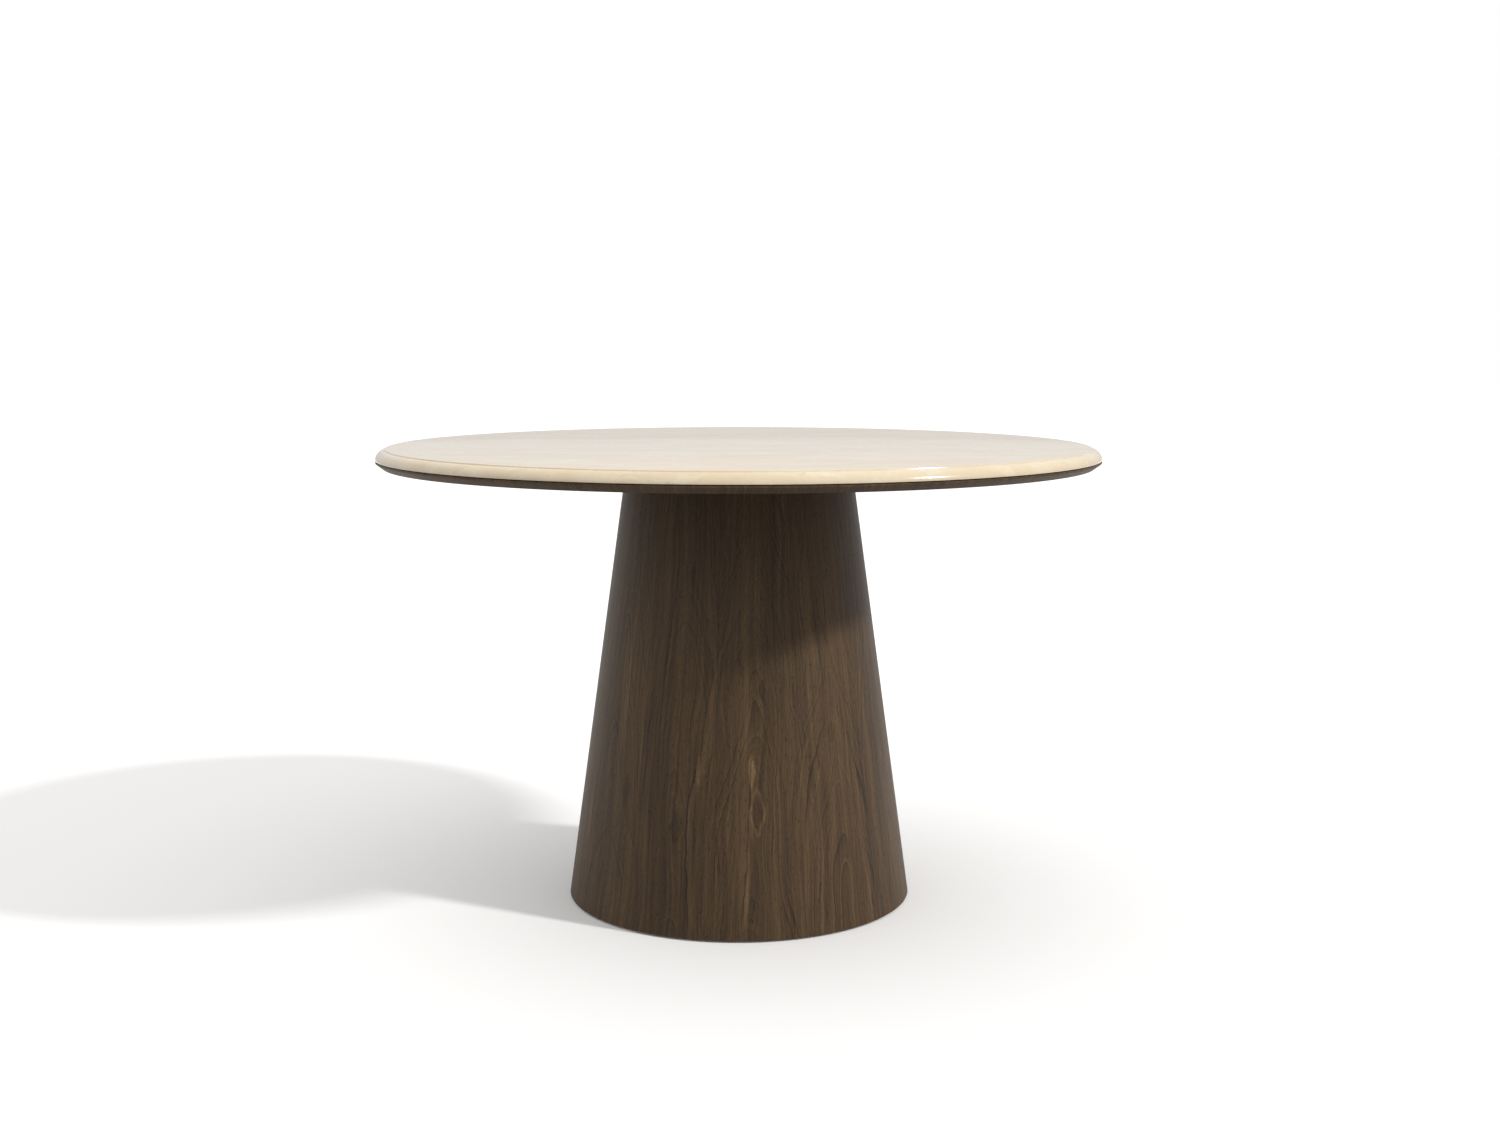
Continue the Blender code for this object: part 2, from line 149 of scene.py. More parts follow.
class Graph:
    """A node tree that is written to by node() and math()."""

    def __init__(self, tree):
        self.tree = tree

    def node(self, kind, settings=None, inputs=None):
        made = self.tree.nodes.new(kind)
        for key, value in (settings or {}).items():
            if key == "stops":
                set_stops(made.color_ramp, value)
            else:
                setattr(made, key, value)
        for key, value in (inputs or {}).items():
            socket = made.inputs[key] if isinstance(key, int) else self.socket_named(made, key)
            self.feed(socket, value)
        return Value(self, next(out for out in made.outputs if out.enabled))

    def math(self, operation, *values):
        return self.node("ShaderNodeMath", {"operation": operation}, dict(enumerate(values)))

    def vector(self, x=0.0, y=0.0, z=0.0):
        return self.node("ShaderNodeCombineXYZ", {}, {"X": x, "Y": y, "Z": z})

    def split(self, vector):
        parts = self.node("ShaderNodeSeparateXYZ", {}, {"Vector": vector})
        return parts, parts.out("Y"), parts.out("Z")

    def blend(self, amount, first, second):
        """A colour between two colours."""
        colours = {"Factor": amount, "A": first, "B": second}
        return self.node("ShaderNodeMix", {"data_type": "RGBA"}, colours)

    def noise(self, x, y, z=0.0, detail=2.0, roughness=0.5, distortion=0.0):
        """Noise from 0 to 1 with features one unit wide."""
        look = {"Scale": 1.0, "Detail": detail, "Roughness": roughness, "Distortion": distortion}
        return self.node("ShaderNodeTexNoise", {}, {"Vector": self.vector(x, y, z), **look})

    def point(self):
        """The x, y and z of the point in space."""
        return self.split(self.node("ShaderNodeTexCoord").out("Object"))

    def turn_and_length(self):
        """(the turn from 0 to 1, the length along the profile in metres) of a turned piece."""
        turn, length, _ = self.split(self.node("ShaderNodeUVMap", {"uv_map": "UVMap"}))
        return turn, length

    def chance(self, number):
        """A value from 0 to 1 that is picked at random for each number."""
        return self.node("ShaderNodeTexWhiteNoise", {"noise_dimensions": "1D"}, {"W": number})

    @staticmethod
    def socket_named(node, name):
        return next(socket for socket in node.inputs if socket.name == name and socket.enabled)

    def feed(self, socket, value):
        if isinstance(value, Value):
            self.tree.links.new(value.socket, socket)
        elif isinstance(value, tuple) and socket.type == "RGBA":
            socket.default_value = (*value[:3], 1.0)
        else:
            socket.default_value = value


def set_stops(ramp, stops):
    while len(ramp.elements) < len(stops):
        ramp.elements.new(1.0)
    for element, (position, colour) in zip(ramp.elements, stops):
        element.position = position
        element.color = (*colour, 1.0)


def principled(name, build, **constants):
    """A material. build(graph) gives what varies over the surface. Constants go on the shader's sockets."""
    material = bpy.data.materials.new(name)
    material.use_nodes = True
    graph = Graph(material.node_tree)
    shader = material.node_tree.nodes["Principled BSDF"]
    for key, value in {**constants, **build(graph)}.items():
        graph.feed(shader.inputs[key.replace("_", " ")], value)
    print("material", name, len(material.node_tree.nodes), "nodes")
    return material


def bump(graph, height, depth, strength=1.0):
    return graph.node("ShaderNodeBump", {}, {"Height": height, "Distance": depth, "Strength": strength})


# %% [markdown]
# ## Walnut veneer
#
# Veneer is sliced flat off a log, so its figure is where the slice meets the growth rings. Near the middle
# of a leaf the slice runs along the rings and they show as tall arches, called cathedrals. Further out they
# show as straight lines. A picture of wood could be painted by hand, or a wave texture could be bent with
# noise. Here the rings are worked out instead. The slice passes the log's middle at `HEART_DISTANCE`, so a
# point `x` to the side of the heart line is `sqrt(x*x + HEART_DISTANCE**2)` from the middle, and the log
# gets thinner as it goes up. The whole part of that distance, counted in rings, is the ring, and the rest
# says how far through its summer the tree was. On top comes what the eye reads as walnut: long soft streaks,
# fine fibres and short dark pores.

# %% Walnut
RING_WIDTH = 0.0064
HEART_DISTANCE = 0.012
LOG_TAPER = 0.19
WALNUT_SHEEN = 0.22
SEAM_EDGE = 0.00045  # where a seam's dark begins, and where it is full
SEAM_CORE = 0.00010
WALNUT_COLOURS = [
    (0.00, (0.012, 0.0072, 0.0040)),
    (0.28, (0.041, 0.0244, 0.0124)),
    (0.50, (0.080, 0.0480, 0.0233)),
    (0.72, (0.129, 0.0790, 0.0372)),
    (1.00, (0.240, 0.1560, 0.0720)),
]


def walnut_figure(graph, across, along, seed, heart, lift, extra_rings=0.0):
    """(growth lines, their pale rims, streaks, fibres, pores), each from 0 to 1. Lengths in metres."""
    sway = graph.noise(across * 9, along * 2.2, seed) - 0.5
    ripple = graph.noise(across * 34, along * 7.5, seed + 11.0) - 0.5
    jag = graph.noise(across * 150, along * 48, seed + 17.0) - 0.5
    x = across - heart + sway * 0.050 + ripple * 0.0085 + jag * 0.0022
    climb = graph.noise(across * 5, along * 3.4, seed + 23.0, detail=1.0) - 0.5
    rings = (x * x + HEART_DISTANCE**2).math("SQRT") + (along + lift + climb * 0.42) * LOG_TAPER
    rings = rings / RING_WIDTH + extra_rings
    rings = rings + graph.noise(rings * 0.45, along * 1.5, seed + 29.0, detail=1.0) * 3.0
    ring = rings.math("FRACT")
    own = graph.chance(rings.math("FLOOR") + seed)
    patchy = graph.noise(across * 22, along * 5, seed + 31.0).smooth(0.34, 0.64)
    lines = ring**5.0 * ring.smooth(1.0, 0.965) * (own * own * 0.9 + 0.12) * (patchy * 0.75 + 0.25)
    rims = ring.smooth(0.30, 0.0) * ring.smooth(0.0, 0.03) * own * (patchy * 0.6 + 0.4)
    broad = graph.noise(x * 62, along * 1.7, seed + 41.0, detail=3.0, roughness=0.6)
    narrow = graph.noise(x * 210, along * 3.2, seed + 47.0, detail=2.0).smooth(0.36, 0.64)
    fibres = graph.noise(x * 520, along * 11.0, seed + 53.0, detail=3.0, roughness=0.75)
    pores = graph.noise(x * 900, along * 110.0, seed + 61.0, detail=2.0).smooth(0.58, 0.70)
    streaks = (broad - 0.5) * 1.1 + (narrow - 0.5) * 0.26
    return lines, rims, streaks, fibres, pores * (1.3 - ring)


def walnut_finish(graph, figure, tone, light=0.0, dark=0.0):
    """The shader's inputs for a walnut figure. tone shifts a whole leaf, light and dark are local marks."""
    lines, rims, streaks, fibres, pores = figure
    shade = 0.47 + streaks * 0.50 + (fibres - 0.5) * 0.60 + tone
    shade = shade - lines * 0.52 + rims * 0.19 - pores * 0.26 + light - dark
    colour = graph.node("ShaderNodeValToRGB", {"stops": WALNUT_COLOURS}, {"Fac": shade})
    height = 0.6 - pores * 0.8 - lines * 0.3 + fibres * 0.4
    roughness = 0.47 + fibres * 0.10 + pores * 0.10
    return {"Base Color": colour, "Roughness": roughness, "Normal": bump(graph, height, 0.00014, 0.6)}


def leaf_at(number):
    """(which leaf, the place across it from 0 to 1) where the number counts leaves."""
    return number.math("FLOOR"), number.math("FRACT")


def leaf_seam(place, width):
    """A hairline where two leaves meet. place runs from 0 to 1 across a leaf of that width."""
    to_edge = (0.5 - (place - 0.5).math("ABSOLUTE")) * width
    return to_edge.smooth(SEAM_EDGE, SEAM_CORE)


# %% [markdown]
# ### The leaves of the cone
#
# Twelve leaves go round the pedestal, each as wide as a twelfth of it. Each leaf is one row of `LEAVES`:
# how far its heart lies from its middle, how far it is shifted along the log, and its tone. The list is
# chosen as a veneer hand lays leaves out on a bench. The marks that give the veneer its character
# are placed one by one too: pale flames of sapwood, which lighten the leaf, pin knots, round which the
# rings part, and pale streaks with a dark left edge.

# %% Cone veneer
LEAF_COUNT = 12
CONE_SEAM = math.radians(112)
MEAN_RADIUS = 0.24
MEAN_GIRTH = math.tau * MEAN_RADIUS
LEAF_WIDTH = MEAN_GIRTH / LEAF_COUNT
# the heart's distance from the middle, the shift along the log and the tone
LEAVES = [
    (0.006, 0.10, 0.02),
    (-0.012, 0.34, -0.03),
    (0.010, 0.22, 0.00),
    (-0.004, 0.05, 0.03),
    (0.002, 0.163, -0.03),
    (-0.002, 0.117, 0.00),
    (0.000, 0.144, 0.02),
    (0.008, 0.29, -0.01),
    (-0.010, 0.07, 0.02),
    (0.004, 0.31, -0.02),
    (-0.006, 0.19, 0.01),
    (0.012, 0.02, -0.01),
]
# angle round the cone in degrees, distance up the cone, half width, half length, how many rings the mark
# parts, the lightness of its middle and the lightness of its rim
MARKS = [
    (-85.1, 0.260, 0.0060, 0.027, 0.0, 0.32, 0.04),
    (-83.4, 0.197, 0.0105, 0.031, 1.5, -0.02, 0.22),
    (-104.2, 0.258, 0.0050, 0.024, 0.4, 0.12, 0.00),
    (-86.5, 0.075, 0.0070, 0.060, 0.6, 0.08, 0.03),
    (-111.6, 0.171, 0.0110, 0.030, 0.8, -0.16, 0.00),
    (-109.7, 0.570, 0.0060, 0.016, 0.9, -0.16, 0.00),
    (-80.9, 0.387, 0.0070, 0.018, 0.9, -0.12, 0.08),
    (-133.9, 0.215, 0.0080, 0.030, 0.6, -0.12, 0.00),
    (-52.8, 0.311, 0.0080, 0.018, 1.1, -0.10, 0.00),
    (24.0, 0.360, 0.0070, 0.030, 1.2, -0.12, 0.06),
    (88.0, 0.240, 0.0080, 0.026, 1.0, 0.10, 0.14),
    (151.0, 0.480, 0.0070, 0.020, 1.1, -0.14, 0.00),
    (203.0, 0.150, 0.0060, 0.040, 0.7, 0.14, 0.10),
]
# width, lightness and the (distance up the cone, angle in degrees) points that the streak passes through
PALE_STREAKS = [
    (
        0.012,
        0.15,
        [(0.00, -105.6), (0.06, -106.4), (0.17, -108.2), (0.22, -107.2), (0.245, -105.2), (0.28, -104.4)],
    ),
    (0.007, 0.12, [(0.00, -89.6), (0.08, -87.2), (0.15, -86.6), (0.22, -85.6), (0.30, -84.6)]),
    (0.008, 0.10, [(0.30, -121.0), (0.42, -119.6), (0.52, -117.2), (0.60, -116.4)]),
    (0.009, 0.09, [(0.26, -104.0), (0.36, -102.0), (0.44, -97.6), (0.50, -93.4), (0.56, -92.0)]),
    (0.010, 0.11, [(0.10, 40.0), (0.26, 42.4), (0.40, 39.6), (0.55, 41.4)]),
    (0.009, 0.10, [(0.05, 141.0), (0.20, 137.6), (0.38, 140.0), (0.50, 138.6)]),
]
# A colour ramp holds numbers from 0 to 1, so small distances are spread over it by these factors.
PATH_SCALE = 20
HEART_SCALE = 10


def cone_place(angle):
    """Where an angle in degrees lies in the veneer's turn from 0 to 1."""
    return (math.radians(angle) - CONE_SEAM) / math.tau % 1.0


def cone_marks(graph, turn, height):
    """(how far the marks part the rings, how much they lighten) at a place on the cone."""
    ragged = (graph.noise(turn * MEAN_GIRTH * 130, height * 34, 3.0, detail=4.0) - 0.5) * 1.5
    parting = 0.0
    lightening = 0.0
    for angle, mark_height, half_width, half_length, part, middle, rim in MARKS:
        across = (turn - cone_place(angle)) * (MEAN_GIRTH / half_width)
        along = (height - mark_height) / half_length
        distance = across * across + along * along
        parting = (distance * -0.7).math("EXPONENT") * part + parting
        pointed = across.math("ABSOLUTE") ** 1.5 + along.math("ABSOLUTE") ** 1.15 + ragged
        lightening = pointed.smooth(1.20, 0.70) * middle + lightening
        if rim:
            lightening = (pointed - 1.05).math("ABSOLUTE").smooth(0.40, 0.03) * rim + lightening
    return parting, lightening


def pale_streaks(graph, turn, height):
    """How much the streaks of pale wood lighten a place on the cone. Each has a sharp dark left edge.

    A colour ramp that runs up the streak's height holds its path.
    """
    girth = turn * MEAN_GIRTH
    ragged = (graph.noise(girth * 90, height * 40, 13.0, detail=3.0) - 0.5) * 0.0065
    total = 0.0
    for width, lightness, points in PALE_STREAKS:
        foot, head = points[0][0], points[-1][0]
        middle = cone_place(sum(angle for _, angle in points) / len(points))
        stops = []
        for z, angle in points:
            value = (cone_place(angle) - middle) * PATH_SCALE + 0.5
            stops.append(((z - foot) / (head - foot), (value, value, value)))
        share = (height - foot) / (head - foot)
        path = graph.node("ShaderNodeValToRGB", {"stops": stops}, {"Fac": share})
        path.socket.node.color_ramp.interpolation = "B_SPLINE"
        centre = (path - 0.5) / PATH_SCALE + middle
        offset = (turn - centre) * MEAN_GIRTH + ragged
        ends = share.smooth(-0.02, 0.12) * share.smooth(1.02, 0.86)
        pale = offset.smooth(-0.001, 0.001) * offset.smooth(width, width * 0.5) * lightness
        edge = (offset + 0.0012).math("ABSOLUTE").smooth(0.0018, 0.0) * lightness * 1.8
        total = (pale - edge) * ends + total
    return total


def cone_walnut(graph):
    turn, height = graph.turn_and_length()
    leaf, place = leaf_at(turn * LEAF_COUNT)
    stops = []
    for i, (heart, lift, tone) in enumerate(LEAVES):
        stops.append((i / LEAF_COUNT, (heart * HEART_SCALE + 0.5, lift, tone + 0.5)))
    look = graph.node("ShaderNodeValToRGB", {"stops": stops}, {"Fac": turn + NUDGE})
    look.socket.node.color_ramp.interpolation = "CONSTANT"
    settings = graph.node("ShaderNodeSeparateColor", {}, {"Color": look})
    heart = (settings - 0.5) * (1 / HEART_SCALE)
    lift = settings.out("Green")
    tone = settings.out("Blue") - 0.5
    across = (place - 0.5) * LEAF_WIDTH
    parting, lightening = cone_marks(graph, turn, height)
    figure = walnut_figure(graph, across, height, leaf * 7.3, heart, lift, parting)
    seam = leaf_seam(place, LEAF_WIDTH)
    broad = graph.noise(turn * MEAN_GIRTH * 5, height * 1.6, 9.0) - 0.5
    lightening = lightening + pale_streaks(graph, turn, height)
    return walnut_finish(graph, figure, tone + broad * 0.30, lightening, seam * 0.20)


walnut_cone = principled("walnut_cone", cone_walnut, Specular_IOR_Level=WALNUT_SHEEN)

# %% [markdown]
# ### The sub-top's edge and underside
#
# The bevelled edge is narrow, so its veneer is laid with the grain up and down the bevel, which bends round
# the rim without cracking. The underside is laid in straight strips. Both use the same walnut with other
# coordinates: a material that takes lengths in metres fits any piece at the right scale.

# %% Edge and underside veneer
EDGE_RADIUS = 0.602
EDGE_GIRTH = math.tau * EDGE_RADIUS
EDGE_LEAF_COUNT = 14
EDGE_LEAF_WIDTH = EDGE_GIRTH / EDGE_LEAF_COUNT
STRIP_WIDTH = 0.17


def edge_walnut(graph):
    turn, height = graph.turn_and_length()
    leaf, place = leaf_at(turn * EDGE_LEAF_COUNT)
    across = (place - 0.5) * EDGE_LEAF_WIDTH
    figure = walnut_figure(graph, across, height, leaf * 5.1, 0.17, 0.0)
    tone = (graph.noise(turn * EDGE_GIRTH * 9, 0.0, 5.0) - 0.5) * 0.35
    seam = leaf_seam(place, EDGE_LEAF_WIDTH)
    return walnut_finish(graph, figure, tone, 0.0, seam * 0.3)


def underside_walnut(graph):
    x, y, _ = graph.point()
    strip, place = leaf_at(x / STRIP_WIDTH)
    own = graph.chance(strip + 40.0)
    figure = walnut_figure(graph, (place - 0.5) * STRIP_WIDTH, y, strip * 6.7, (own - 0.5) * 0.06, own)
    seam = leaf_seam(place, STRIP_WIDTH)
    return walnut_finish(graph, figure, (own - 0.5) * 0.12, 0.0, seam * 0.25)


walnut_edge = principled("walnut_edge", edge_walnut, Specular_IOR_Level=WALNUT_SHEEN)
walnut_underside = principled("walnut_underside", underside_walnut, Specular_IOR_Level=WALNUT_SHEEN)

# %% [markdown]
# ## Cream stone
#
# The slab is a warm cream limestone, polished. Its ground is cloudy, the clouds are drawn out sideways, and
# thin rusty veins and a few brown flecks cross them. Everything is a function of the point in space, so the
# pattern runs through the slab and turns the corner at the edge as it does in real stone, with no seam.

# %% Stone
STONE_LIGHT = (0.770, 0.690, 0.545)
STONE_GROUND = (0.715, 0.612, 0.445)
STONE_CLOUD = (0.665, 0.545, 0.375)
STONE_RUST = (0.500, 0.310, 0.150)


def stone_surface(graph):
    x, y, z = graph.point()
    drift = graph.noise(x * 4, y * 6, z * 6, detail=3.0) - 0.5
    across = x * 3.2 + drift * 1.2
    deep = y * 8.0 + drift * 1.8
    high = z * 8.0 + drift * 1.8
    clouds = graph.noise(across, deep, high, detail=6.0, roughness=0.6)
    wisps = graph.noise(across * 3.1, deep * 3.4, high * 3.4, detail=5.0, roughness=0.65)
    grains = graph.noise(x * 320, y * 320, z * 320, detail=2.0)
    mottle = graph.noise(x * 110, y * 110, z * 110, detail=3.0, roughness=0.6)
    colour = graph.blend(clouds.smooth(0.34, 0.66), STONE_CLOUD, STONE_GROUND)
    colour = graph.blend(wisps.smooth(0.48, 0.72) * 0.8, colour, STONE_LIGHT)
    colour = graph.blend(mottle.smooth(0.42, 0.70) * 0.35, colour, STONE_CLOUD)
    colour = graph.blend((grains - 0.5).math("ABSOLUTE") * 0.45, colour, STONE_CLOUD)
    vein_look = {"detail": 6.0, "roughness": 0.6, "distortion": 0.6}
    vein_field = graph.noise(across * 1.3, deep * 1.1, high * 1.1 + 5.0, **vein_look)
    vein = (vein_field - 0.5).math("ABSOLUTE").smooth(0.010, 0.0)
    vein_patch = graph.noise(x * 3, y * 5, z * 5 + 7.0).smooth(0.52, 0.70)
    flecks = graph.noise(x * 46, y * 60, z * 60, detail=4.0, roughness=0.7).smooth(0.60, 0.72)
    fleck_patch = graph.noise(x * 9, y * 9, z * 9 + 3.0).smooth(0.42, 0.62)
    rust = (vein * vein_patch * 0.40).math("MAXIMUM", flecks * fleck_patch * 0.55)
    colour = graph.blend(rust, colour, STONE_RUST)
    roughness = 0.10 + grains * 0.05 + rust * 0.12
    return {"Base Color": colour, "Roughness": roughness, "Normal": bump(graph, grains, 0.00002, 0.2)}


cream_stone = principled("cream_stone", stone_surface, Specular_IOR_Level=0.5, IOR=1.5)

# %% [markdown]
# ## Birch plywood and fibreboard
#
# Plywood shows two faces: calm birch with a faint lengthwise grain, and an edge of thin plies that turn by
# a quarter, so every other one is darker end grain. One formula gives both. It asks only how deep a point
# lies in the board: on a face the depth never changes, and on an edge it runs through the plies. Flat boards
# read the depth from the height, the bent shell from the distance to the cone's axis, and the ribs from an
# attribute.

# %% Plywood and fibreboard
PLY_THICKNESS = 0.0014
GLUE_LINE = 0.07
BIRCH = (0.600, 0.440, 0.270)
BIRCH_END_GRAIN = (0.400, 0.260, 0.140)
BIRCH_GLUE = (0.200, 0.110, 0.055)
FIBRE_PALE = (0.400, 0.280, 0.170)
FIBRE_DARK = (0.270, 0.180, 0.105)


def birch(graph, depth, across, along):
    """The shader's inputs for birch plywood. across and along are measured on the board's face."""
    layer = depth / PLY_THICKNESS
    turned_ply = (layer * 0.5).math("FRACT").smooth(0.49, 0.51)
    to_glue = 0.5 - (layer.math("FRACT") - 0.5).math("ABSOLUTE")
    glue = to_glue.smooth(GLUE_LINE, 0.0)
    grain = graph.noise(across * 110, along * 5, depth * 400, detail=4.0, roughness=0.6)
    mottle = graph.noise(across * 14, along * 4, depth * 200, detail=2.0)
    colour = graph.blend(turned_ply * 0.75, BIRCH, BIRCH_END_GRAIN)
    colour = graph.blend((grain.smooth(0.35, 0.8) + mottle * 0.4) * 0.32, colour, BIRCH_END_GRAIN)
    colour = graph.blend(glue * 0.65, colour, BIRCH_GLUE)
    roughness = 0.62 + grain * 0.12
    return {"Base Color": colour, "Roughness": roughness, "Normal": bump(graph, grain, 0.0002, 0.35)}


def board(name, node):
    """Plywood for a level board, whose plies are counted up from the underside of its CAD node."""
    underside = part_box(node)[0][2]

    def build(graph):
        x, y, z = graph.point()
        return birch(graph, z - underside + 0.5 * PLY_THICKNESS, x, y)

    return principled(name, build)


def fibre_surface(graph):
    x, y, z = graph.point()
    fibres = graph.noise(x * 900, y * 900, z * 900, detail=3.0, roughness=0.7)
    colour = graph.blend(fibres, FIBRE_PALE, FIBRE_DARK)
    roughness = 0.80 + fibres * 0.1
    return {"Base Color": colour, "Roughness": roughness, "Normal": bump(graph, fibres, 0.0001, 0.4)}


fibreboard = principled("fibreboard", fibre_surface)

# %% [markdown]
# ## Metals and plastics
#
# Bright zinc plate is never one grey: it has a soft mottle and fine scratches, and it is duller in places.
# The pads are black nylon with a fine moulded grain, and the small discs under the stone are clear silicone.


# %% Metals and plastics
def metal_surface(colour, dull_colour, roughness):
    def build(graph):
        x, y, z = graph.point()
        mottle = graph.noise(x * 160, y * 160, z * 160, detail=4.0, roughness=0.6)
        scratches = graph.noise(x * 300, y * 2600, z * 900, detail=2.0)
        tint = graph.blend(mottle.smooth(0.35, 0.7), colour, dull_colour)
        dull = roughness + (mottle - 0.5) * 0.25 + (scratches - 0.5) * 0.12
        return {"Base Color": tint, "Roughness": dull, "Normal": bump(graph, scratches, 0.00002, 0.3)}

    return build


def plastic_surface(colour, worn_colour, roughness):
    def build(graph):
        x, y, z = graph.point()
        grain = graph.noise(x * 1500, y * 1500, z * 1500, detail=2.0)
        patches = graph.noise(x * 90, y * 90, z * 90, detail=3.0)
        tint = graph.blend(patches.smooth(0.45, 0.75) * 0.5, colour, worn_colour)
        dull = roughness + grain * 0.12
        return {"Base Color": tint, "Roughness": dull, "Normal": bump(graph, grain, 0.00004, 0.5)}

    return build


zinc = principled("zinc_plate", metal_surface((0.66, 0.67, 0.69), (0.50, 0.51, 0.54), 0.30), Metallic=1.0)
brass = principled("brass", metal_surface((0.74, 0.55, 0.26), (0.60, 0.42, 0.18), 0.28), Metallic=1.0)
nylon = principled("black_nylon", plastic_surface((0.018, 0.018, 0.020), (0.045, 0.045, 0.048), 0.42))
silicone_look = plastic_surface((0.78, 0.80, 0.80), (0.70, 0.72, 0.71), 0.22)
silicone = principled("clear_silicone", silicone_look, Transmission_Weight=0.55, IOR=1.41)

# %% [markdown]
# ## Turning a profile
#
# Nearly every piece of this table is round, so the lathe is the main tool. A Screw modifier would do it,
# but it gives no UV map, and the veneer needs one to know its place round the cone. This Geometry Nodes tree
# takes a grid instead: each column is one step round, each row is one point of the profile. It bends the
# grid into the round shape, writes the turn and the length along the profile as a UV map, and then merges
# the seam and the poles. The UV map is kept on face corners, so that the seam can hold both 0 and 1.


# %% Lathe tree
MERGE_DISTANCE = 0.000005


def new_tree(name, sockets, build):
    """A Geometry Nodes tree with (name, type) sockets. build(graph, given) returns its geometry."""
    tree = bpy.data.node_groups.new(name, "GeometryNodeTree")
    tree.interface.new_socket("Geometry", in_out="OUTPUT", socket_type="NodeSocketGeometry")
    for label, kind in sockets:
        tree.interface.new_socket(label, in_out="INPUT", socket_type=kind)
    graph = Graph(tree)
    source = tree.nodes.new("NodeGroupInput")
    given = {label: Value(graph, source.outputs[label]) for label, _ in sockets}
    result = build(graph, given)
    tree.links.new(result.socket, tree.nodes.new("NodeGroupOutput").inputs["Geometry"])
    print("tree", name, len(tree.nodes), "nodes")
    return tree


def shape_of(graph, an_object):
    return graph.node("GeometryNodeObjectInfo", {}, {"Object": an_object}).out("Geometry")


def rolled_grid(graph, steps, rows, radius, height, along, material):
    """A grid rolled about the Z axis. radius, height and along are fields that read the row and the turn."""
    sizes = {"Size X": 1.0, "Size Y": 1.0, "Vertices X": steps + 1, "Vertices Y": rows}
    grid = graph.node("GeometryNodeMeshGrid", {}, sizes)
    turn = grid_turn(graph, steps, rows)
    angle = turn * math.tau
    place = graph.vector(radius * angle.math("COSINE"), radius * angle.math("SINE"), height)
    bent = graph.node("GeometryNodeSetPosition", {}, {"Geometry": grid, "Position": place})
    at_points = {"domain": "POINT", "data_type": "FLOAT_VECTOR"}
    uv = graph.node("GeometryNodeFieldOnDomain", at_points, {"Value": graph.vector(turn, along)})
    stored = graph.node(
        "GeometryNodeStoreNamedAttribute",
        {"data_type": "FLOAT2", "domain": "CORNER"},
        {"Geometry": bent, "Name": "UVMap", "Value": uv},
    )
    merged = graph.node("GeometryNodeMergeByDistance", {}, {"Geometry": stored, "Distance": MERGE_DISTANCE})
    return graph.node("GeometryNodeSetMaterial", {}, {"Geometry": merged, "Material": material})


def grid_row(graph, rows):
    index = graph.node("GeometryNodeInputIndex")
    return index - (index / rows + NUDGE).math("FLOOR") * rows


def grid_turn(graph, steps, rows):
    index = graph.node("GeometryNodeInputIndex")
    return (index / rows + NUDGE).math("FLOOR") / steps


def build_lathe(graph, given):
    profile = shape_of(graph, given["Profile"])
    count = graph.node("GeometryNodeAttributeDomainSize", {"component": "MESH"}, {"Geometry": profile})
    row = grid_row(graph, count)

    def read(data_type, value):
        inputs = {"Geometry": profile, "Value": value, "Index": row}
        return graph.node("GeometryNodeSampleIndex", {"data_type": data_type, "domain": "POINT"}, inputs)

    radius, _, height = graph.split(read("FLOAT_VECTOR", graph.node("GeometryNodeInputPosition")))
    travelled = graph.node("GeometryNodeInputNamedAttribute", {"data_type": "FLOAT"}, {"Name": "along"})
    along = read("FLOAT", travelled)
    steps = given["Steps"]
    shape = rolled_grid(graph, steps, count, radius, height, along, given["Material"])
    swing = {"Geometry": shape, "Rotation": graph.vector(0.0, 0.0, given["Start Angle"])}
    return graph.node("GeometryNodeTransform", {}, swing)


lathe = new_tree(
    "lathe",
    [
        ("Profile", "NodeSocketObject"),
        ("Steps", "NodeSocketInt"),
        ("Start Angle", "NodeSocketFloat"),
        ("Material", "NodeSocketMaterial"),
    ],
    build_lathe,
)

# %% [markdown]
# ## From a tree to a plain mesh
#
# A finished piece must be a plain mesh at the origin, so the result of a tree is copied out and the modifier
# goes. The copy is then checked like a casting: its normals are turned outwards, open edges are counted, and
# its volume is measured. A closed solid with a sensible volume has no missing seam and no inside-out wall.


# %% Workbench helpers
def mesh_of(obj, name):
    """A copy of the object's mesh with its modifiers applied. The object is then removed."""
    bpy.context.view_layer.update()
    graph = bpy.context.evaluated_depsgraph_get()
    mesh = bpy.data.meshes.new_from_object(obj.evaluated_get(graph))
    mesh.name = name
    bpy.data.objects.remove(obj)
    return mesh


def new_object(name, mesh):
    made = bpy.data.objects.new(name, mesh)
    scene.collection.objects.link(made)
    return made


def mesh_from(shape, name):
    """A new mesh from a bmesh, which is then freed."""
    mesh = bpy.data.meshes.new(name)
    shape.to_mesh(mesh)
    shape.free()
    return mesh


def grow(tree, name, inputs):
    """A new object that holds what the tree makes. Inputs are set by the identifier of each named socket."""
    blank = new_object(name, bpy.data.meshes.new(name))
    modifier = blank.modifiers.new("Tree", "NODES")
    modifier.node_group = tree
    for item in tree.interface.items_tree:
        if item.in_out == "INPUT":
            modifier[item.identifier] = inputs[item.name]
    return new_object(name, mesh_of(blank, name))


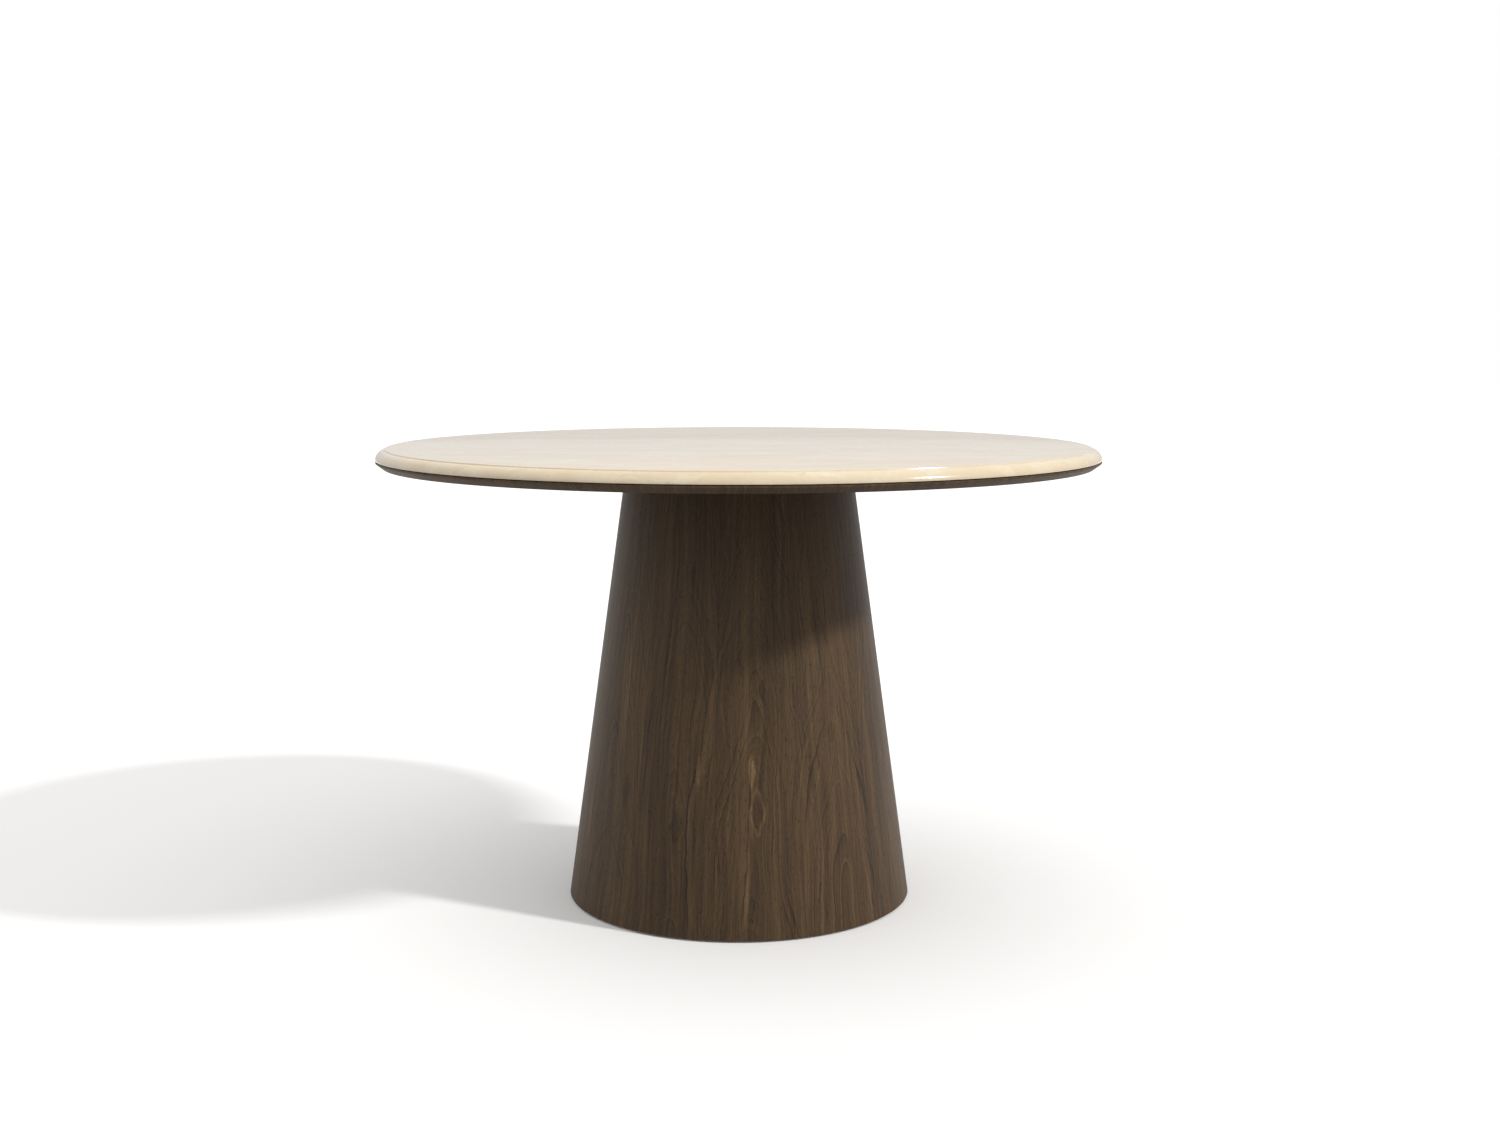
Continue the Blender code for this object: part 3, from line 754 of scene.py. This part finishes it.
def face_outwards(piece, sharp_angle=35):
    """Turns the normals out, shades the piece smooth but for its sharp edges, and prints its volume."""
    shape = bmesh.new()
    shape.from_mesh(piece.data)
    bmesh.ops.recalc_face_normals(shape, faces=shape.faces)
    open_edges = sum(not edge.is_manifold for edge in shape.edges)
    volume = shape.calc_volume(signed=True)
    shape.to_mesh(piece.data)
    shape.free()
    piece.data.shade_smooth()
    piece.data.set_sharp_from_angle(angle=math.radians(sharp_angle))
    print(f"{piece.name}: {len(piece.data.polygons)} faces, {open_edges} open edges, {volume * 1e6:.1f} cm3")
    return piece


def hand_over(piece, body, slot, *nodes):
    """Says which body carries the piece and which CAD nodes it stands for. The slot is not used."""
    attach(piece, body)
    if nodes:
        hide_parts(*nodes)


def numbered(stem, count):
    return [f"{stem}_{i}" for i in range(1, count + 1)]


# %% [markdown]
# ## Profiles with real corners
#
# No made edge is perfectly sharp, and it is the small rounding that catches the light. A profile is a list
# of corners, each with its own rounding radius, and `rounded` puts an arc into each one. The profile becomes
# a chain of points that also know how far along the chain they lie, which the lathe passes on to the UV map.


# %% Profile helpers
CAD_TOLERANCE = 0.00002


def rounded(corners, points_per_arc=5):
    """(radius, z) points of an outline given as (radius, z, rounding) corners."""
    outline = []
    for i, (r, z, rounding) in enumerate(corners):
        corner = Vector((r, z))
        if not rounding:
            outline.append(corner)
            continue
        back = Vector(corners[i - 1][:2]) - corner
        onward = Vector(corners[(i + 1) % len(corners)][:2]) - corner
        half = back.angle(onward) / 2
        cut = min(rounding / math.tan(half), 0.45 * back.length, 0.45 * onward.length)
        start = corner + back.normalized() * cut
        end = corner + onward.normalized() * cut
        centre = corner + (back.normalized() + onward.normalized()).normalized() * cut / math.cos(half)
        sweep = math.pi - 2 * half
        for k in range(points_per_arc + 1):
            share = k / points_per_arc
            from_start = (start - centre) * math.sin((1 - share) * sweep)
            from_end = (end - centre) * math.sin(share * sweep)
            outline.append(centre + (from_start + from_end) / math.sin(sweep))
    return [tuple(point) for point in outline]


def turn_profile(name, outline, steps, material, start_angle=0.0):
    """A turned piece. The outline starts and ends on the axis, or it is closed by its first point."""
    if outline[0][0] > 0:
        outline = [*outline, outline[0]]
    chain = bpy.data.meshes.new(name)
    links = [(i, i + 1) for i in range(len(outline) - 1)]
    chain.from_pydata([(r, 0, z) for r, z in outline], links, [])
    along = chain.attributes.new("along", "FLOAT", "POINT")
    travelled = 0.0
    for i, (r, z) in enumerate(outline):
        if i:
            travelled += math.dist((r, z), outline[i - 1])
        along.data[i].value = travelled
    profile = new_object(name + "_profile", chain)
    inputs = {"Profile": profile, "Steps": steps, "Start Angle": start_angle, "Material": material}
    piece = grow(lathe, name, inputs)
    bpy.data.objects.remove(profile)
    return face_outwards(piece)


def radii(node):
    """(z, inner radius, outer radius) at the lowest and the highest level of a CAD node."""
    points = [vertex.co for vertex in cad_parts[node].data.vertices]
    levels = []
    for z in (min(p.z for p in points), max(p.z for p in points)):
        reach = [p.xy.length for p in points if abs(p.z - z) < CAD_TOLERANCE]
        levels.append((z, min(reach), max(reach)))
    return levels


# %% [markdown]
# ## The stone top
#
# The slab's edge is a classic one: the flat ends in a little step, a flattened quarter round rolls over
# from there, and the lower arris is eased so that it can't chip. The step's two tiny roundings draw the thin
# lines that run round a polished edge. Raising the sine and the cosine to a power above 1 is what flattens
# the round: at 2 it would be a straight slope.

# %% Stone top
STONE_STEPS = 384
STEP_WIDTH = 0.0020
STEP_DEPTH = 0.0018
STEP_ARRIS = 0.0007
STEP_FILLET = 0.0005
ROUND_WIDTH = 0.0151
ROUND_POWER = 1.18
LOWER_ARRIS = 0.0005
ROUND_POINTS = 20


def stone_outline():
    low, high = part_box("stone_top")
    rim, bottom, top = high[0], low[2], high[2]
    shoulder = rim - ROUND_WIDTH
    foot = bottom + LOWER_ARRIS
    drop = top - STEP_DEPTH - foot
    step = rounded(
        [
            (0, top, 0),
            (shoulder - STEP_WIDTH * 0.6, top, STEP_ARRIS),
            (shoulder - STEP_WIDTH * 0.25, top - STEP_DEPTH, STEP_FILLET),
            (shoulder, top - STEP_DEPTH, 0),
        ]
    )
    arc = []
    for i in range(1, ROUND_POINTS):
        angle = math.pi / 2 * i / ROUND_POINTS
        across = ROUND_WIDTH * math.sin(angle) ** ROUND_POWER
        up = drop * math.cos(angle) ** ROUND_POWER
        arc.append((shoulder + across, foot + up))
    lower = rounded([(rim, foot + drop * 0.1, 0), (rim, bottom, LOWER_ARRIS), (0, bottom, 0)])
    return [*step, *arc, *lower[1:]]


stone = turn_profile("stone_slab", stone_outline(), STONE_STEPS, cream_stone)
hand_over(stone, "table", "stone", "stone_top")

# %% [markdown]
# ## The walnut sub-top
#
# Under the stone lies a board whose walnut edge has a narrow upright lip and is bevelled inwards below it,
# so that from a normal height it reads as one dark line and the stone seems to float on its shadow. The band
# and the sheet below are thin turned shells. The fibreboard between them keeps its CAD shape, because
# nothing of it shows but its material.

# %% Sub-top
SUBTOP_STEPS = 288
EASED = 0.0004
LIP_HEIGHT = 0.003
(band_low, band_foot_in, band_foot), (band_high, band_rim_in, band_rim) = radii("subtop_edge_veneer")
lip_low = band_high - LIP_HEIGHT
band = rounded(
    [
        (band_rim, band_high, EASED),
        (band_rim, lip_low, EASED),
        (band_foot, band_low, EASED),
        (band_foot_in, band_low, 0),
        (band_rim_in, lip_low, 0),
        (band_rim_in, band_high, 0),
    ]
)
edge_band = turn_profile("walnut_edge_band", band, SUBTOP_STEPS, walnut_edge)
hand_over(edge_band, "table", "walnut", "subtop_edge_veneer")

(sheet_low, sheet_inner, sheet_outer), (sheet_high, _, _) = radii("subtop_underside_veneer")
sheet = [
    (sheet_outer, sheet_high),
    (sheet_outer, sheet_low),
    (sheet_inner, sheet_low),
    (sheet_inner, sheet_high),
]
underside = turn_profile("walnut_underside_sheet", sheet, SUBTOP_STEPS, walnut_underside)
hand_over(underside, "table", "walnut", "subtop_underside_veneer")
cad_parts["subtop_core"].material_slots[0].material = fibreboard

# %% [markdown]
# ## The cone
#
# The pedestal is a skin of veneer on a shell of bent plywood. The profile runs up the outside in one
# straight line, so the UV map's second number is simply the distance up the cone, and the veneer's seam is
# set to the back.

# %% Cone skin and shell
CONE_STEPS = 288
(skin_low, skin_foot_in, skin_foot), (skin_high, skin_head_in, skin_head) = radii("cone_veneer")
skin = [
    (skin_foot, skin_low + EASED),
    (skin_head, skin_high),
    (skin_head_in, skin_high),
    (skin_foot_in, skin_low),
    (skin_foot - EASED, skin_low),
]
cone_skin = turn_profile("cone_skin", skin, CONE_STEPS, walnut_cone, CONE_SEAM)
hand_over(cone_skin, "table", "walnut", "cone_veneer")

(shell_low, shell_foot_in, shell_foot), (shell_high, shell_head_in, shell_head) = radii("cone_shell")
cone_slope = (shell_foot - shell_head) / (shell_high - shell_low)


def shell_plywood(graph):
    x, y, z = graph.point()
    reach = (x * x + y * y).math("SQRT")
    outside = shell_foot - (z - shell_low) * cone_slope
    bearing = graph.math("ARCTAN2", y, x * -1.0)
    return birch(graph, outside - reach + 0.5 * PLY_THICKNESS, bearing * MEAN_RADIUS, z)


shell_outline = [
    (shell_foot, shell_low),
    (shell_head, shell_high),
    (shell_head_in, shell_high),
    (shell_foot_in, shell_low),
]
bent_plywood = principled("bent_plywood", shell_plywood)
cone_shell = turn_profile("bent_plywood_shell", shell_outline, CONE_STEPS, bent_plywood)
hand_over(cone_shell, "table", "plywood", "cone_shell")

# %% [markdown]
# ## Rings and plates
#
# Two plywood rings brace the shell and a plate closes its head. The rings are turned and then cut, the
# middle one with slots for the ribs and the lower one with holes for the foot sockets. A Boolean is the
# honest tool here, because on the real parts the same cut is made with a saw and a drill.


# %% Rings
def cut_with(piece, cutter):
    """Cuts the cutter out of the piece, and removes the cutter."""
    boolean = piece.modifiers.new("Cut", "BOOLEAN")
    boolean.object = cutter
    name = piece.name
    mesh = mesh_of(piece, name)
    bpy.data.objects.remove(cutter)
    return face_outwards(new_object(name, mesh))


def cutter_ring(name, shape, count, start):
    """One object with a copy of the shape at each place round the axis."""
    ring = bmesh.new()
    for i in range(count):
        copy = shape.copy()
        turned = Matrix.Rotation(start + i * math.tau / count, 3, "Z")
        bmesh.ops.rotate(copy, verts=copy.verts, matrix=turned)
        mesh = mesh_from(copy, name)
        ring.from_mesh(mesh)
        bpy.data.meshes.remove(mesh)
    shape.free()
    return new_object(name, mesh_from(ring, name))


def ring_outline(node, rounding=0.0006):
    (low, low_in, low_out), (high, high_in, high_out) = radii(node)
    corners = [(high_out, high), (low_out, low), (low_in, low), (high_in, high)]
    return rounded([(r, z, rounding) for r, z in corners], 3)


RIB_COUNT = 8
RIB_START = math.tau / 16
SLOT_WIDTH = 0.0156
SLOT_START = 0.0225  # how far outside the ring's inner edge a slot begins
SLOT_BLOCK = 0.05  # the cutter's length and height, which reach past the ring
FOOT_COUNT = 4
FOOT_START = math.tau / 8
FOOT_CIRCLE = 0.232
SOCKET_HOLE_RADIUS = 0.0058
SOCKET_HOLE_HEIGHT = 0.025
SOCKET_HOLE_DEPTH = 0.03
RING_STEPS = 192

ring_plywood = board("middle_ring_plywood", "mid_ring")
middle_ring = turn_profile("middle_ring", ring_outline("mid_ring"), RING_STEPS, ring_plywood)
(ring_low, ring_inner, _), (ring_high, _, _) = radii("mid_ring")
slot = bmesh.new()
slot_size = Matrix.Diagonal((SLOT_BLOCK, SLOT_WIDTH, SLOT_BLOCK, 1))
slot_middle = ring_inner + SLOT_START + SLOT_BLOCK / 2
slot_place = Matrix.Translation((slot_middle, 0, (ring_low + ring_high) / 2))
bmesh.ops.create_cube(slot, size=1, matrix=slot_place @ slot_size)
middle_ring = cut_with(middle_ring, cutter_ring("rib_slots", slot, RIB_COUNT, RIB_START))
hand_over(middle_ring, "table", "plywood", "mid_ring")

ring_plywood = board("lower_ring_plywood", "base_ring")
base_ring = turn_profile("lower_ring", ring_outline("base_ring"), RING_STEPS, ring_plywood)
hole = bmesh.new()
bmesh.ops.create_cone(
    hole,
    cap_ends=True,
    segments=32,
    radius1=SOCKET_HOLE_RADIUS,
    radius2=SOCKET_HOLE_RADIUS,
    depth=SOCKET_HOLE_DEPTH,
    matrix=Matrix.Translation((FOOT_CIRCLE, 0, SOCKET_HOLE_HEIGHT)),
)
base_ring = cut_with(base_ring, cutter_ring("socket_holes", hole, FOOT_COUNT, FOOT_START))
hand_over(base_ring, "table", "plywood", "base_ring")

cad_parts["head_plate"].material_slots[0].material = board("head_plate_plywood", "head_plate")
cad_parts["mount_disc"].material_slots[0].material = board("mount_disc_plywood", "mount_disc")

# %% [markdown]
# ## Copies round the axis
#
# The ribs, pads, screws, bolts and washers all stand evenly on a circle. This tree puts a number of points
# on the circle, sets a copy of the piece on each, turned to face outwards, and then makes the copies real,
# because an exported model keeps no instances. One foot is the same tree with a count of one.


# %% Circle tree
def build_circle(graph, given):
    points = graph.node("GeometryNodePoints", {}, {"Count": given["Count"]})
    index = graph.node("GeometryNodeInputIndex")
    angle = given["Start Angle"] + index / given["Count"] * math.tau
    place = graph.vector(given["Radius"] * angle.math("COSINE"), given["Radius"] * angle.math("SINE"), 0.0)
    placed = graph.node("GeometryNodeSetPosition", {}, {"Geometry": points, "Position": place})
    piece = shape_of(graph, given["Piece"])
    facing = graph.vector(0.0, 0.0, angle)
    inputs = {"Points": placed, "Instance": piece, "Rotation": facing}
    instances = graph.node("GeometryNodeInstanceOnPoints", {}, inputs)
    real = graph.node("GeometryNodeRealizeInstances", {}, {"Geometry": instances})
    return graph.node("GeometryNodeSetMaterial", {}, {"Geometry": real, "Material": given["Material"]})


circle = new_tree(
    "circle_of_copies",
    [
        ("Piece", "NodeSocketObject"),
        ("Count", "NodeSocketInt"),
        ("Radius", "NodeSocketFloat"),
        ("Start Angle", "NodeSocketFloat"),
        ("Material", "NodeSocketMaterial"),
    ],
    build_circle,
)


def copies(name, piece, count, radius, start, material):
    """A new piece with count copies of the given one, which stays as it is."""
    layout = {"Count": count, "Radius": radius, "Start Angle": start}
    return face_outwards(grow(circle, name, {"Piece": piece, **layout, "Material": material}))


# %% [markdown]
# ## The ribs
#
# A rib is a flat plywood board that follows the inside of the shell. Its CAD shape is already right, so the
# board is a copy of the first rib, turned to lie on the X axis, cleaned of its loose triangles and given
# softly broken edges. It also carries its own depth as an attribute, so that its long edges show the plies.

# %% Ribs
PLIES_BELOW_MIDDLE = 20.5  # keeps the depth above zero
BROKEN_EDGE = 0.0005
rib_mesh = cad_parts["rib_1"].data.copy()
rib_mesh.transform(Matrix.Rotation(-RIB_START, 4, "Z"))
rib_mesh.materials.clear()
shape = bmesh.new()
shape.from_mesh(rib_mesh)
bmesh.ops.remove_doubles(shape, verts=shape.verts, dist=CAD_TOLERANCE)
bmesh.ops.dissolve_limit(shape, angle_limit=math.radians(1), verts=shape.verts, edges=shape.edges)
bmesh.ops.bevel(shape, geom=shape.edges[:], offset=BROKEN_EDGE, segments=2, affect="EDGES")
shape.to_mesh(rib_mesh)
shape.free()
depths = rib_mesh.attributes.new("board_depth", "FLOAT", "POINT")
for vertex, depth in zip(rib_mesh.vertices, depths.data):
    depth.value = vertex.co.y


def rib_plywood(graph):
    x, y, z = graph.point()
    depth = graph.node("ShaderNodeAttribute", {"attribute_name": "board_depth"}).out("Fac")
    return birch(graph, depth + PLIES_BELOW_MIDDLE * PLY_THICKNESS, x + y, z)


one_rib = new_object("one_rib", rib_mesh)
rib_finish = principled("rib_plywood", rib_plywood)
ribs = copies("pedestal_ribs", one_rib, RIB_COUNT, 0.0, RIB_START, rib_finish)
bpy.data.objects.remove(one_rib)
hand_over(ribs, "table", "plywood", *numbered("rib", RIB_COUNT))

# %% [markdown]
# ## Threads
#
# A screw thread is a cylinder whose radius rises and falls once for every pitch, and whose rise is carried
# round with the turn. So the lathe's grid makes threads too, when the radius is a formula of the row and the
# turn and not a list of points. The ends taper at 45 degrees, as a die leaves them, and the first and the
# last row are pulled onto the axis to close them.

# %% Thread tree
HEXAGON_CHAMFER = 0.0006
HEXAGON_STEPS = 72
THREAD_STEPS = 24
ROWS_PER_TURN = 7
CREST_SHARE = 0.12  # the flat part of the thread's profile
SLOPE_SHARE = 0.72  # and the part that slopes


def build_thread(graph, given):
    low, high = given["Bottom"], given["Top"]
    pitch, depth = given["Pitch"], given["Depth"]
    length = high - low
    rows = (length / pitch * ROWS_PER_TURN).math("CEIL") + 3.0
    row = grid_row(graph, rows)
    turn = grid_turn(graph, THREAD_STEPS, rows)
    share = ((row - 1.0) / (rows - 3.0)).math("MAXIMUM", 0.0).math("MINIMUM", 1.0)
    height = low + length * share
    flank = ((height / pitch - turn).math("FRACT") - 0.5).math("ABSOLUTE") * 2.0
    valley = ((flank - CREST_SHARE) / SLOPE_SHARE).math("MAXIMUM", 0.0).math("MINIMUM", 1.0)
    to_end = (height - low).math("MINIMUM", high - height)
    crest = given["Radius"]
    radius = (crest - depth * valley).math("MINIMUM", crest - depth + to_end)
    inside = (row - 0.5).math("GREATER_THAN", 0.0) * (rows - 1.5 - row).math("GREATER_THAN", 0.0)
    return rolled_grid(graph, THREAD_STEPS, rows, radius * inside, height, height, given["Material"])


thread = new_tree(
    "thread",
    [
        ("Radius", "NodeSocketFloat"),
        ("Depth", "NodeSocketFloat"),
        ("Pitch", "NodeSocketFloat"),
        ("Bottom", "NodeSocketFloat"),
        ("Top", "NodeSocketFloat"),
        ("Material", "NodeSocketMaterial"),
    ],
    build_thread,
)


def threaded_rod(name, radius, depth, pitch, bottom, top, material):
    sizes = {"Radius": radius, "Depth": depth, "Pitch": pitch, "Bottom": bottom, "Top": top}
    return face_outwards(grow(thread, name, {**sizes, "Material": material}), sharp_angle=60)


def hexagon(name, across_flats, bottom, top, material):
    """A hexagon whose corners are chamfered as on a lathe: a hexagonal bar that meets a bevelled disc."""
    bar = bmesh.new()
    corner = across_flats / 2 / math.cos(math.pi / 6)
    place = Matrix.Translation((0, 0, (bottom + top) / 2))
    bmesh.ops.create_cone(
        bar, cap_ends=True, segments=6, radius1=corner, radius2=corner, depth=top - bottom, matrix=place
    )
    bar_piece = new_object(name + "_bar", mesh_from(bar, name))
    flat = across_flats / 2
    reach = corner + 0.0002  # just past the bar's corners
    outline = [
        (0, top),
        (flat, top),
        (reach, top - HEXAGON_CHAMFER),
        (reach, bottom + HEXAGON_CHAMFER),
        (flat, bottom),
        (0, bottom),
    ]
    disc = turn_profile(name + "_disc", outline, HEXAGON_STEPS, material)
    return combined(name, bar_piece, disc, "INTERSECT", material)


def combined(name, first, second, operation, material):
    """One piece made from two by a Boolean."""
    boolean = first.modifiers.new("Combine", "BOOLEAN")
    boolean.operation = operation
    boolean.object = second
    mesh = mesh_of(first, name)
    bpy.data.objects.remove(second)
    mesh.materials.clear()
    mesh.materials.append(material)
    for face in mesh.polygons:
        face.material_index = 0
    return face_outwards(new_object(name, mesh), sharp_angle=50)


# %% [markdown]
# ## Levelling feet
#
# Four feet carry the table. A threaded stem with a hexagon for a spanner turns in a steel socket in the
# lower ring, and its pad doesn't turn with it. For each turn of the stem the pad goes down by one pitch, so
# the thread drawn here is the one that the joint's coupling describes.

# %% Feet
PITCH = 0.00125
THREAD_DEPTH = 0.00062
STEM_RADIUS = 0.0040
SPANNER = 0.0130
PAD_STEPS = 64
PAD_RADIUS = 0.0180
CUP_RADIUS = 0.0048  # the hollow in the pad that the stem stands in
CUP_DEPTH = 0.0038
SMALL_STEPS = 48
SOCKET_RADIUS = 0.0055
FLANGE_RADIUS = 0.0120
FLANGE_HEIGHT = 0.0017
M8_BORE = 0.0046
_, pad_high = (corner[2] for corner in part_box("foot_pad_1"))
stem_low, stem_high = (corner[2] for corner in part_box("foot_stem_1"))
socket_low, socket_high = (corner[2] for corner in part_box("foot_socket_1"))
hex_low = pad_high + 0.0006
hex_high = socket_low - 0.0003

rod = threaded_rod("rod", STEM_RADIUS, THREAD_DEPTH, PITCH, stem_low, stem_high, zinc)
stem = combined("stem", rod, hexagon("hexagon", SPANNER, hex_low, hex_high, zinc), "UNION", zinc)

pad_corners = [
    (0, pad_high - CUP_DEPTH, 0),
    (CUP_RADIUS, pad_high - CUP_DEPTH, 0),
    (CUP_RADIUS, pad_high, 0.0003),
    (0.0085, pad_high, 0.0008),
    (0.0165, 0.0042, 0.0020),
    (PAD_RADIUS, 0.0030, 0.0006),
    (PAD_RADIUS, 0.0, 0.0006),
    (0.0150, 0.0, 0.0),
    (0, 0, 0),
]
pad = turn_profile("pad", rounded(pad_corners), PAD_STEPS, nylon)

socket_corners = [
    (SOCKET_RADIUS, socket_high, 0.0004),
    (SOCKET_RADIUS, socket_low + FLANGE_HEIGHT, 0.0003),
    (FLANGE_RADIUS, socket_low + FLANGE_HEIGHT, 0.0004),
    (FLANGE_RADIUS, socket_low, 0.0006),
    (M8_BORE, socket_low, 0.0003),
    (M8_BORE, socket_high, 0.0003),
]
socket = turn_profile("socket", rounded(socket_corners, 3), SMALL_STEPS, zinc)
sockets = copies("foot_sockets", socket, FOOT_COUNT, FOOT_CIRCLE, FOOT_START, zinc)
hand_over(sockets, "table", "zinc", *numbered("foot_socket", FOOT_COUNT))

for i in range(FOOT_COUNT):
    start = FOOT_START + i * math.tau / FOOT_COUNT
    stem_piece = copies(f"stem_{i + 1}", stem, 1, FOOT_CIRCLE, start, zinc)
    hand_over(stem_piece, f"foot_{i + 1}_stem", "zinc", f"foot_stem_{i + 1}")
    pad_piece = copies(f"pad_{i + 1}", pad, 1, FOOT_CIRCLE, start, nylon)
    hand_over(pad_piece, f"foot_{i + 1}_pad", "nylon", f"foot_pad_{i + 1}")
for pattern in (stem, pad, socket):
    bpy.data.objects.remove(pattern)

# %% [markdown]
# ## Bolts, washers, screws and pads
#
# The top is held by four bolts that are reached from below, through the open foot of the cone. Their heads,
# washers and threads are real shapes, because a look into the pedestal shows them. The wood screws and the
# silicone pads are out of sight, and are made the same way so that the model comes apart as the table does.

# %% Fasteners
BOLT_COUNT = 4
BOLT_CIRCLE = 0.110
WASHER_RADIUS = 0.0120
SCREW_COUNT = 8
SCREW_CIRCLE = 0.150
SCREW_RADIUS = 0.0020
SCREW_DEPTH = 0.0006
SCREW_PITCH = 0.0018
SCREW_HEAD_RADIUS = 0.0040
SCREW_HEAD_STEPS = 40
RECESS_SIZE = (0.0046, 0.0010, 0.0030)
DOT_COUNT = 8
DOT_CIRCLE = 0.420
DOT_RADIUS = 0.0100
EIGHTH_START = math.tau / 16

bolt_low, bolt_high = (corner[2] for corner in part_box("top_bolt_1"))
washer_low, washer_high = (corner[2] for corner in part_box("bolt_washer_1"))
bolt_head = hexagon("bolt_head", SPANNER, bolt_low, washer_low - 0.0003, zinc)
bolt_rod = threaded_rod("bolt_rod", STEM_RADIUS, THREAD_DEPTH, PITCH, bolt_low + 0.002, bolt_high, zinc)
bolt = combined("bolt", bolt_rod, bolt_head, "UNION", zinc)
bolts = copies("top_bolts", bolt, BOLT_COUNT, BOLT_CIRCLE, 0.0, zinc)
hand_over(bolts, "table", "zinc", *numbered("top_bolt", BOLT_COUNT))

washer_corners = [
    (WASHER_RADIUS, washer_high, 0.0003),
    (WASHER_RADIUS, washer_low, 0.0003),
    (M8_BORE, washer_low, 0.0002),
    (M8_BORE, washer_high, 0.0002),
]
washer = turn_profile("washer", rounded(washer_corners, 3), SMALL_STEPS, zinc)
washers = copies("bolt_washers", washer, BOLT_COUNT, BOLT_CIRCLE, 0.0, zinc)
hand_over(washers, "table", "zinc", *numbered("bolt_washer", BOLT_COUNT))

screw_low, screw_high = (corner[2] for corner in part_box("disc_screw_1"))
head_outline = [
    (0, screw_low + 0.0030),
    (0.0016, screw_low + 0.0028),
    (SCREW_HEAD_RADIUS, screw_low + 0.0005),
    (SCREW_HEAD_RADIUS, screw_low),
    (0, screw_low),
]
screw_head = turn_profile("screw_head", head_outline, SCREW_HEAD_STEPS, zinc)
rod_low = screw_low + SCREW_PITCH
screw_rod = threaded_rod("screw_rod", SCREW_RADIUS, SCREW_DEPTH, SCREW_PITCH, rod_low, screw_high, zinc)
screw = combined("screw", screw_rod, screw_head, "UNION", zinc)
for turn in (0, math.pi / 2):
    bar = bmesh.new()
    place = Matrix.Translation((0, 0, screw_low)) @ Matrix.Rotation(turn, 4, "Z")
    bmesh.ops.create_cube(bar, size=1, matrix=place @ Matrix.Diagonal((*RECESS_SIZE, 1)))
    recess = new_object("recess", mesh_from(bar, "recess"))
    screw = combined("screw", screw, recess, "DIFFERENCE", zinc)
screws = copies("disc_screws", screw, SCREW_COUNT, SCREW_CIRCLE, EIGHTH_START, zinc)
hand_over(screws, "table", "zinc", *numbered("disc_screw", SCREW_COUNT))

dot_low, dot_high = (corner[2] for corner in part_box("stone_pad_1"))
dot_corners = [
    (0, dot_high, 0),
    (DOT_RADIUS, dot_high, 0.0007),
    (DOT_RADIUS, dot_low, 0.0004),
    (0, dot_low, 0),
]
dot = turn_profile("dot", rounded(dot_corners), SMALL_STEPS, silicone)
dots = copies("silicone_pads", dot, DOT_COUNT, DOT_CIRCLE, EIGHTH_START, silicone)
hand_over(dots, "table", "silicone", *numbered("stone_pad", DOT_COUNT))

for pattern in (bolt, washer, screw, dot):
    bpy.data.objects.remove(pattern)
for name in numbered("threaded_insert", BOLT_COUNT):
    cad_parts[name].material_slots[0].material = brass

# %% [markdown]
# ## Floor and room
#
# The floor is a plain pale sheet that takes the shadow. It is white to the camera and in reflections, but
# gives back little light to what stands on it, so the walnut keeps its depth of colour. The room is a world
# shader: white to the camera, and to everything else a dome that brightens overhead and dims to the right.

# %% Floor and room
FLOOR_SIZE = 60.0
FLOOR_GAP = 0.0001  # keeps the floor just clear of the feet
FLOOR_WHITE = (0.93, 0.93, 0.929)
FLOOR_PATCH = (0.92, 0.92, 0.919)
FLOOR_BOUNCE = (0.20, 0.20, 0.20)
FLOOR_GLOW = (0.03, 0.03, 0.03)
DOME = [
    (0.0, (0.80, 0.80, 0.80)),
    (0.5, (0.64, 0.65, 0.68)),
    (0.67, (0.91, 0.91, 0.92)),
    (1.0, (1.08, 1.06, 1.03)),
]
DOME_RIGHT = (0.35, 0.36, 0.38)


def floor_surface(graph):
    x, y, _ = graph.point()
    patches = graph.noise(x * 0.7, y * 0.7)
    seen = graph.node("ShaderNodeLightPath")
    in_view = seen.math("MAXIMUM", seen.out("Is Glossy Ray"))
    white = graph.blend(patches, FLOOR_PATCH, FLOOR_WHITE)
    glow = graph.blend(seen, (0.0, 0.0, 0.0), FLOOR_GLOW)
    colour = graph.blend(in_view, FLOOR_BOUNCE, white)
    return {"Base Color": colour, "Emission Color": glow, "Roughness": 0.85}


sheet_of_floor = bmesh.new()
bmesh.ops.create_grid(sheet_of_floor, x_segments=1, y_segments=1, size=FLOOR_SIZE / 2)
floor = new_object("floor", mesh_from(sheet_of_floor, "floor"))
pale_floor = principled("pale_floor", floor_surface, Specular_IOR_Level=0.0, Emission_Strength=1.0)
floor.data.materials.append(pale_floor)
floor.location.z = -FLOOR_GAP

world = bpy.data.worlds.new("room")
world.use_nodes = True
scene.world = world
room = Graph(world.node_tree)
across, _, up = room.split(room.node("ShaderNodeTexCoord").out("Generated"))
dome = room.node("ShaderNodeValToRGB", {"stops": DOME}, {"Fac": up * 0.5 + 0.5})
dome = room.blend(across.smooth(0.1, 1.0) * 0.5, dome, DOME_RIGHT)
seen = room.node("ShaderNodeLightPath")
room_colour = room.blend(seen, dome, (1.0, 1.0, 1.0))
background = world.node_tree.nodes["Background"]
room.feed(background.inputs["Color"], room_colour)
print("room nodes:", len(world.node_tree.nodes))
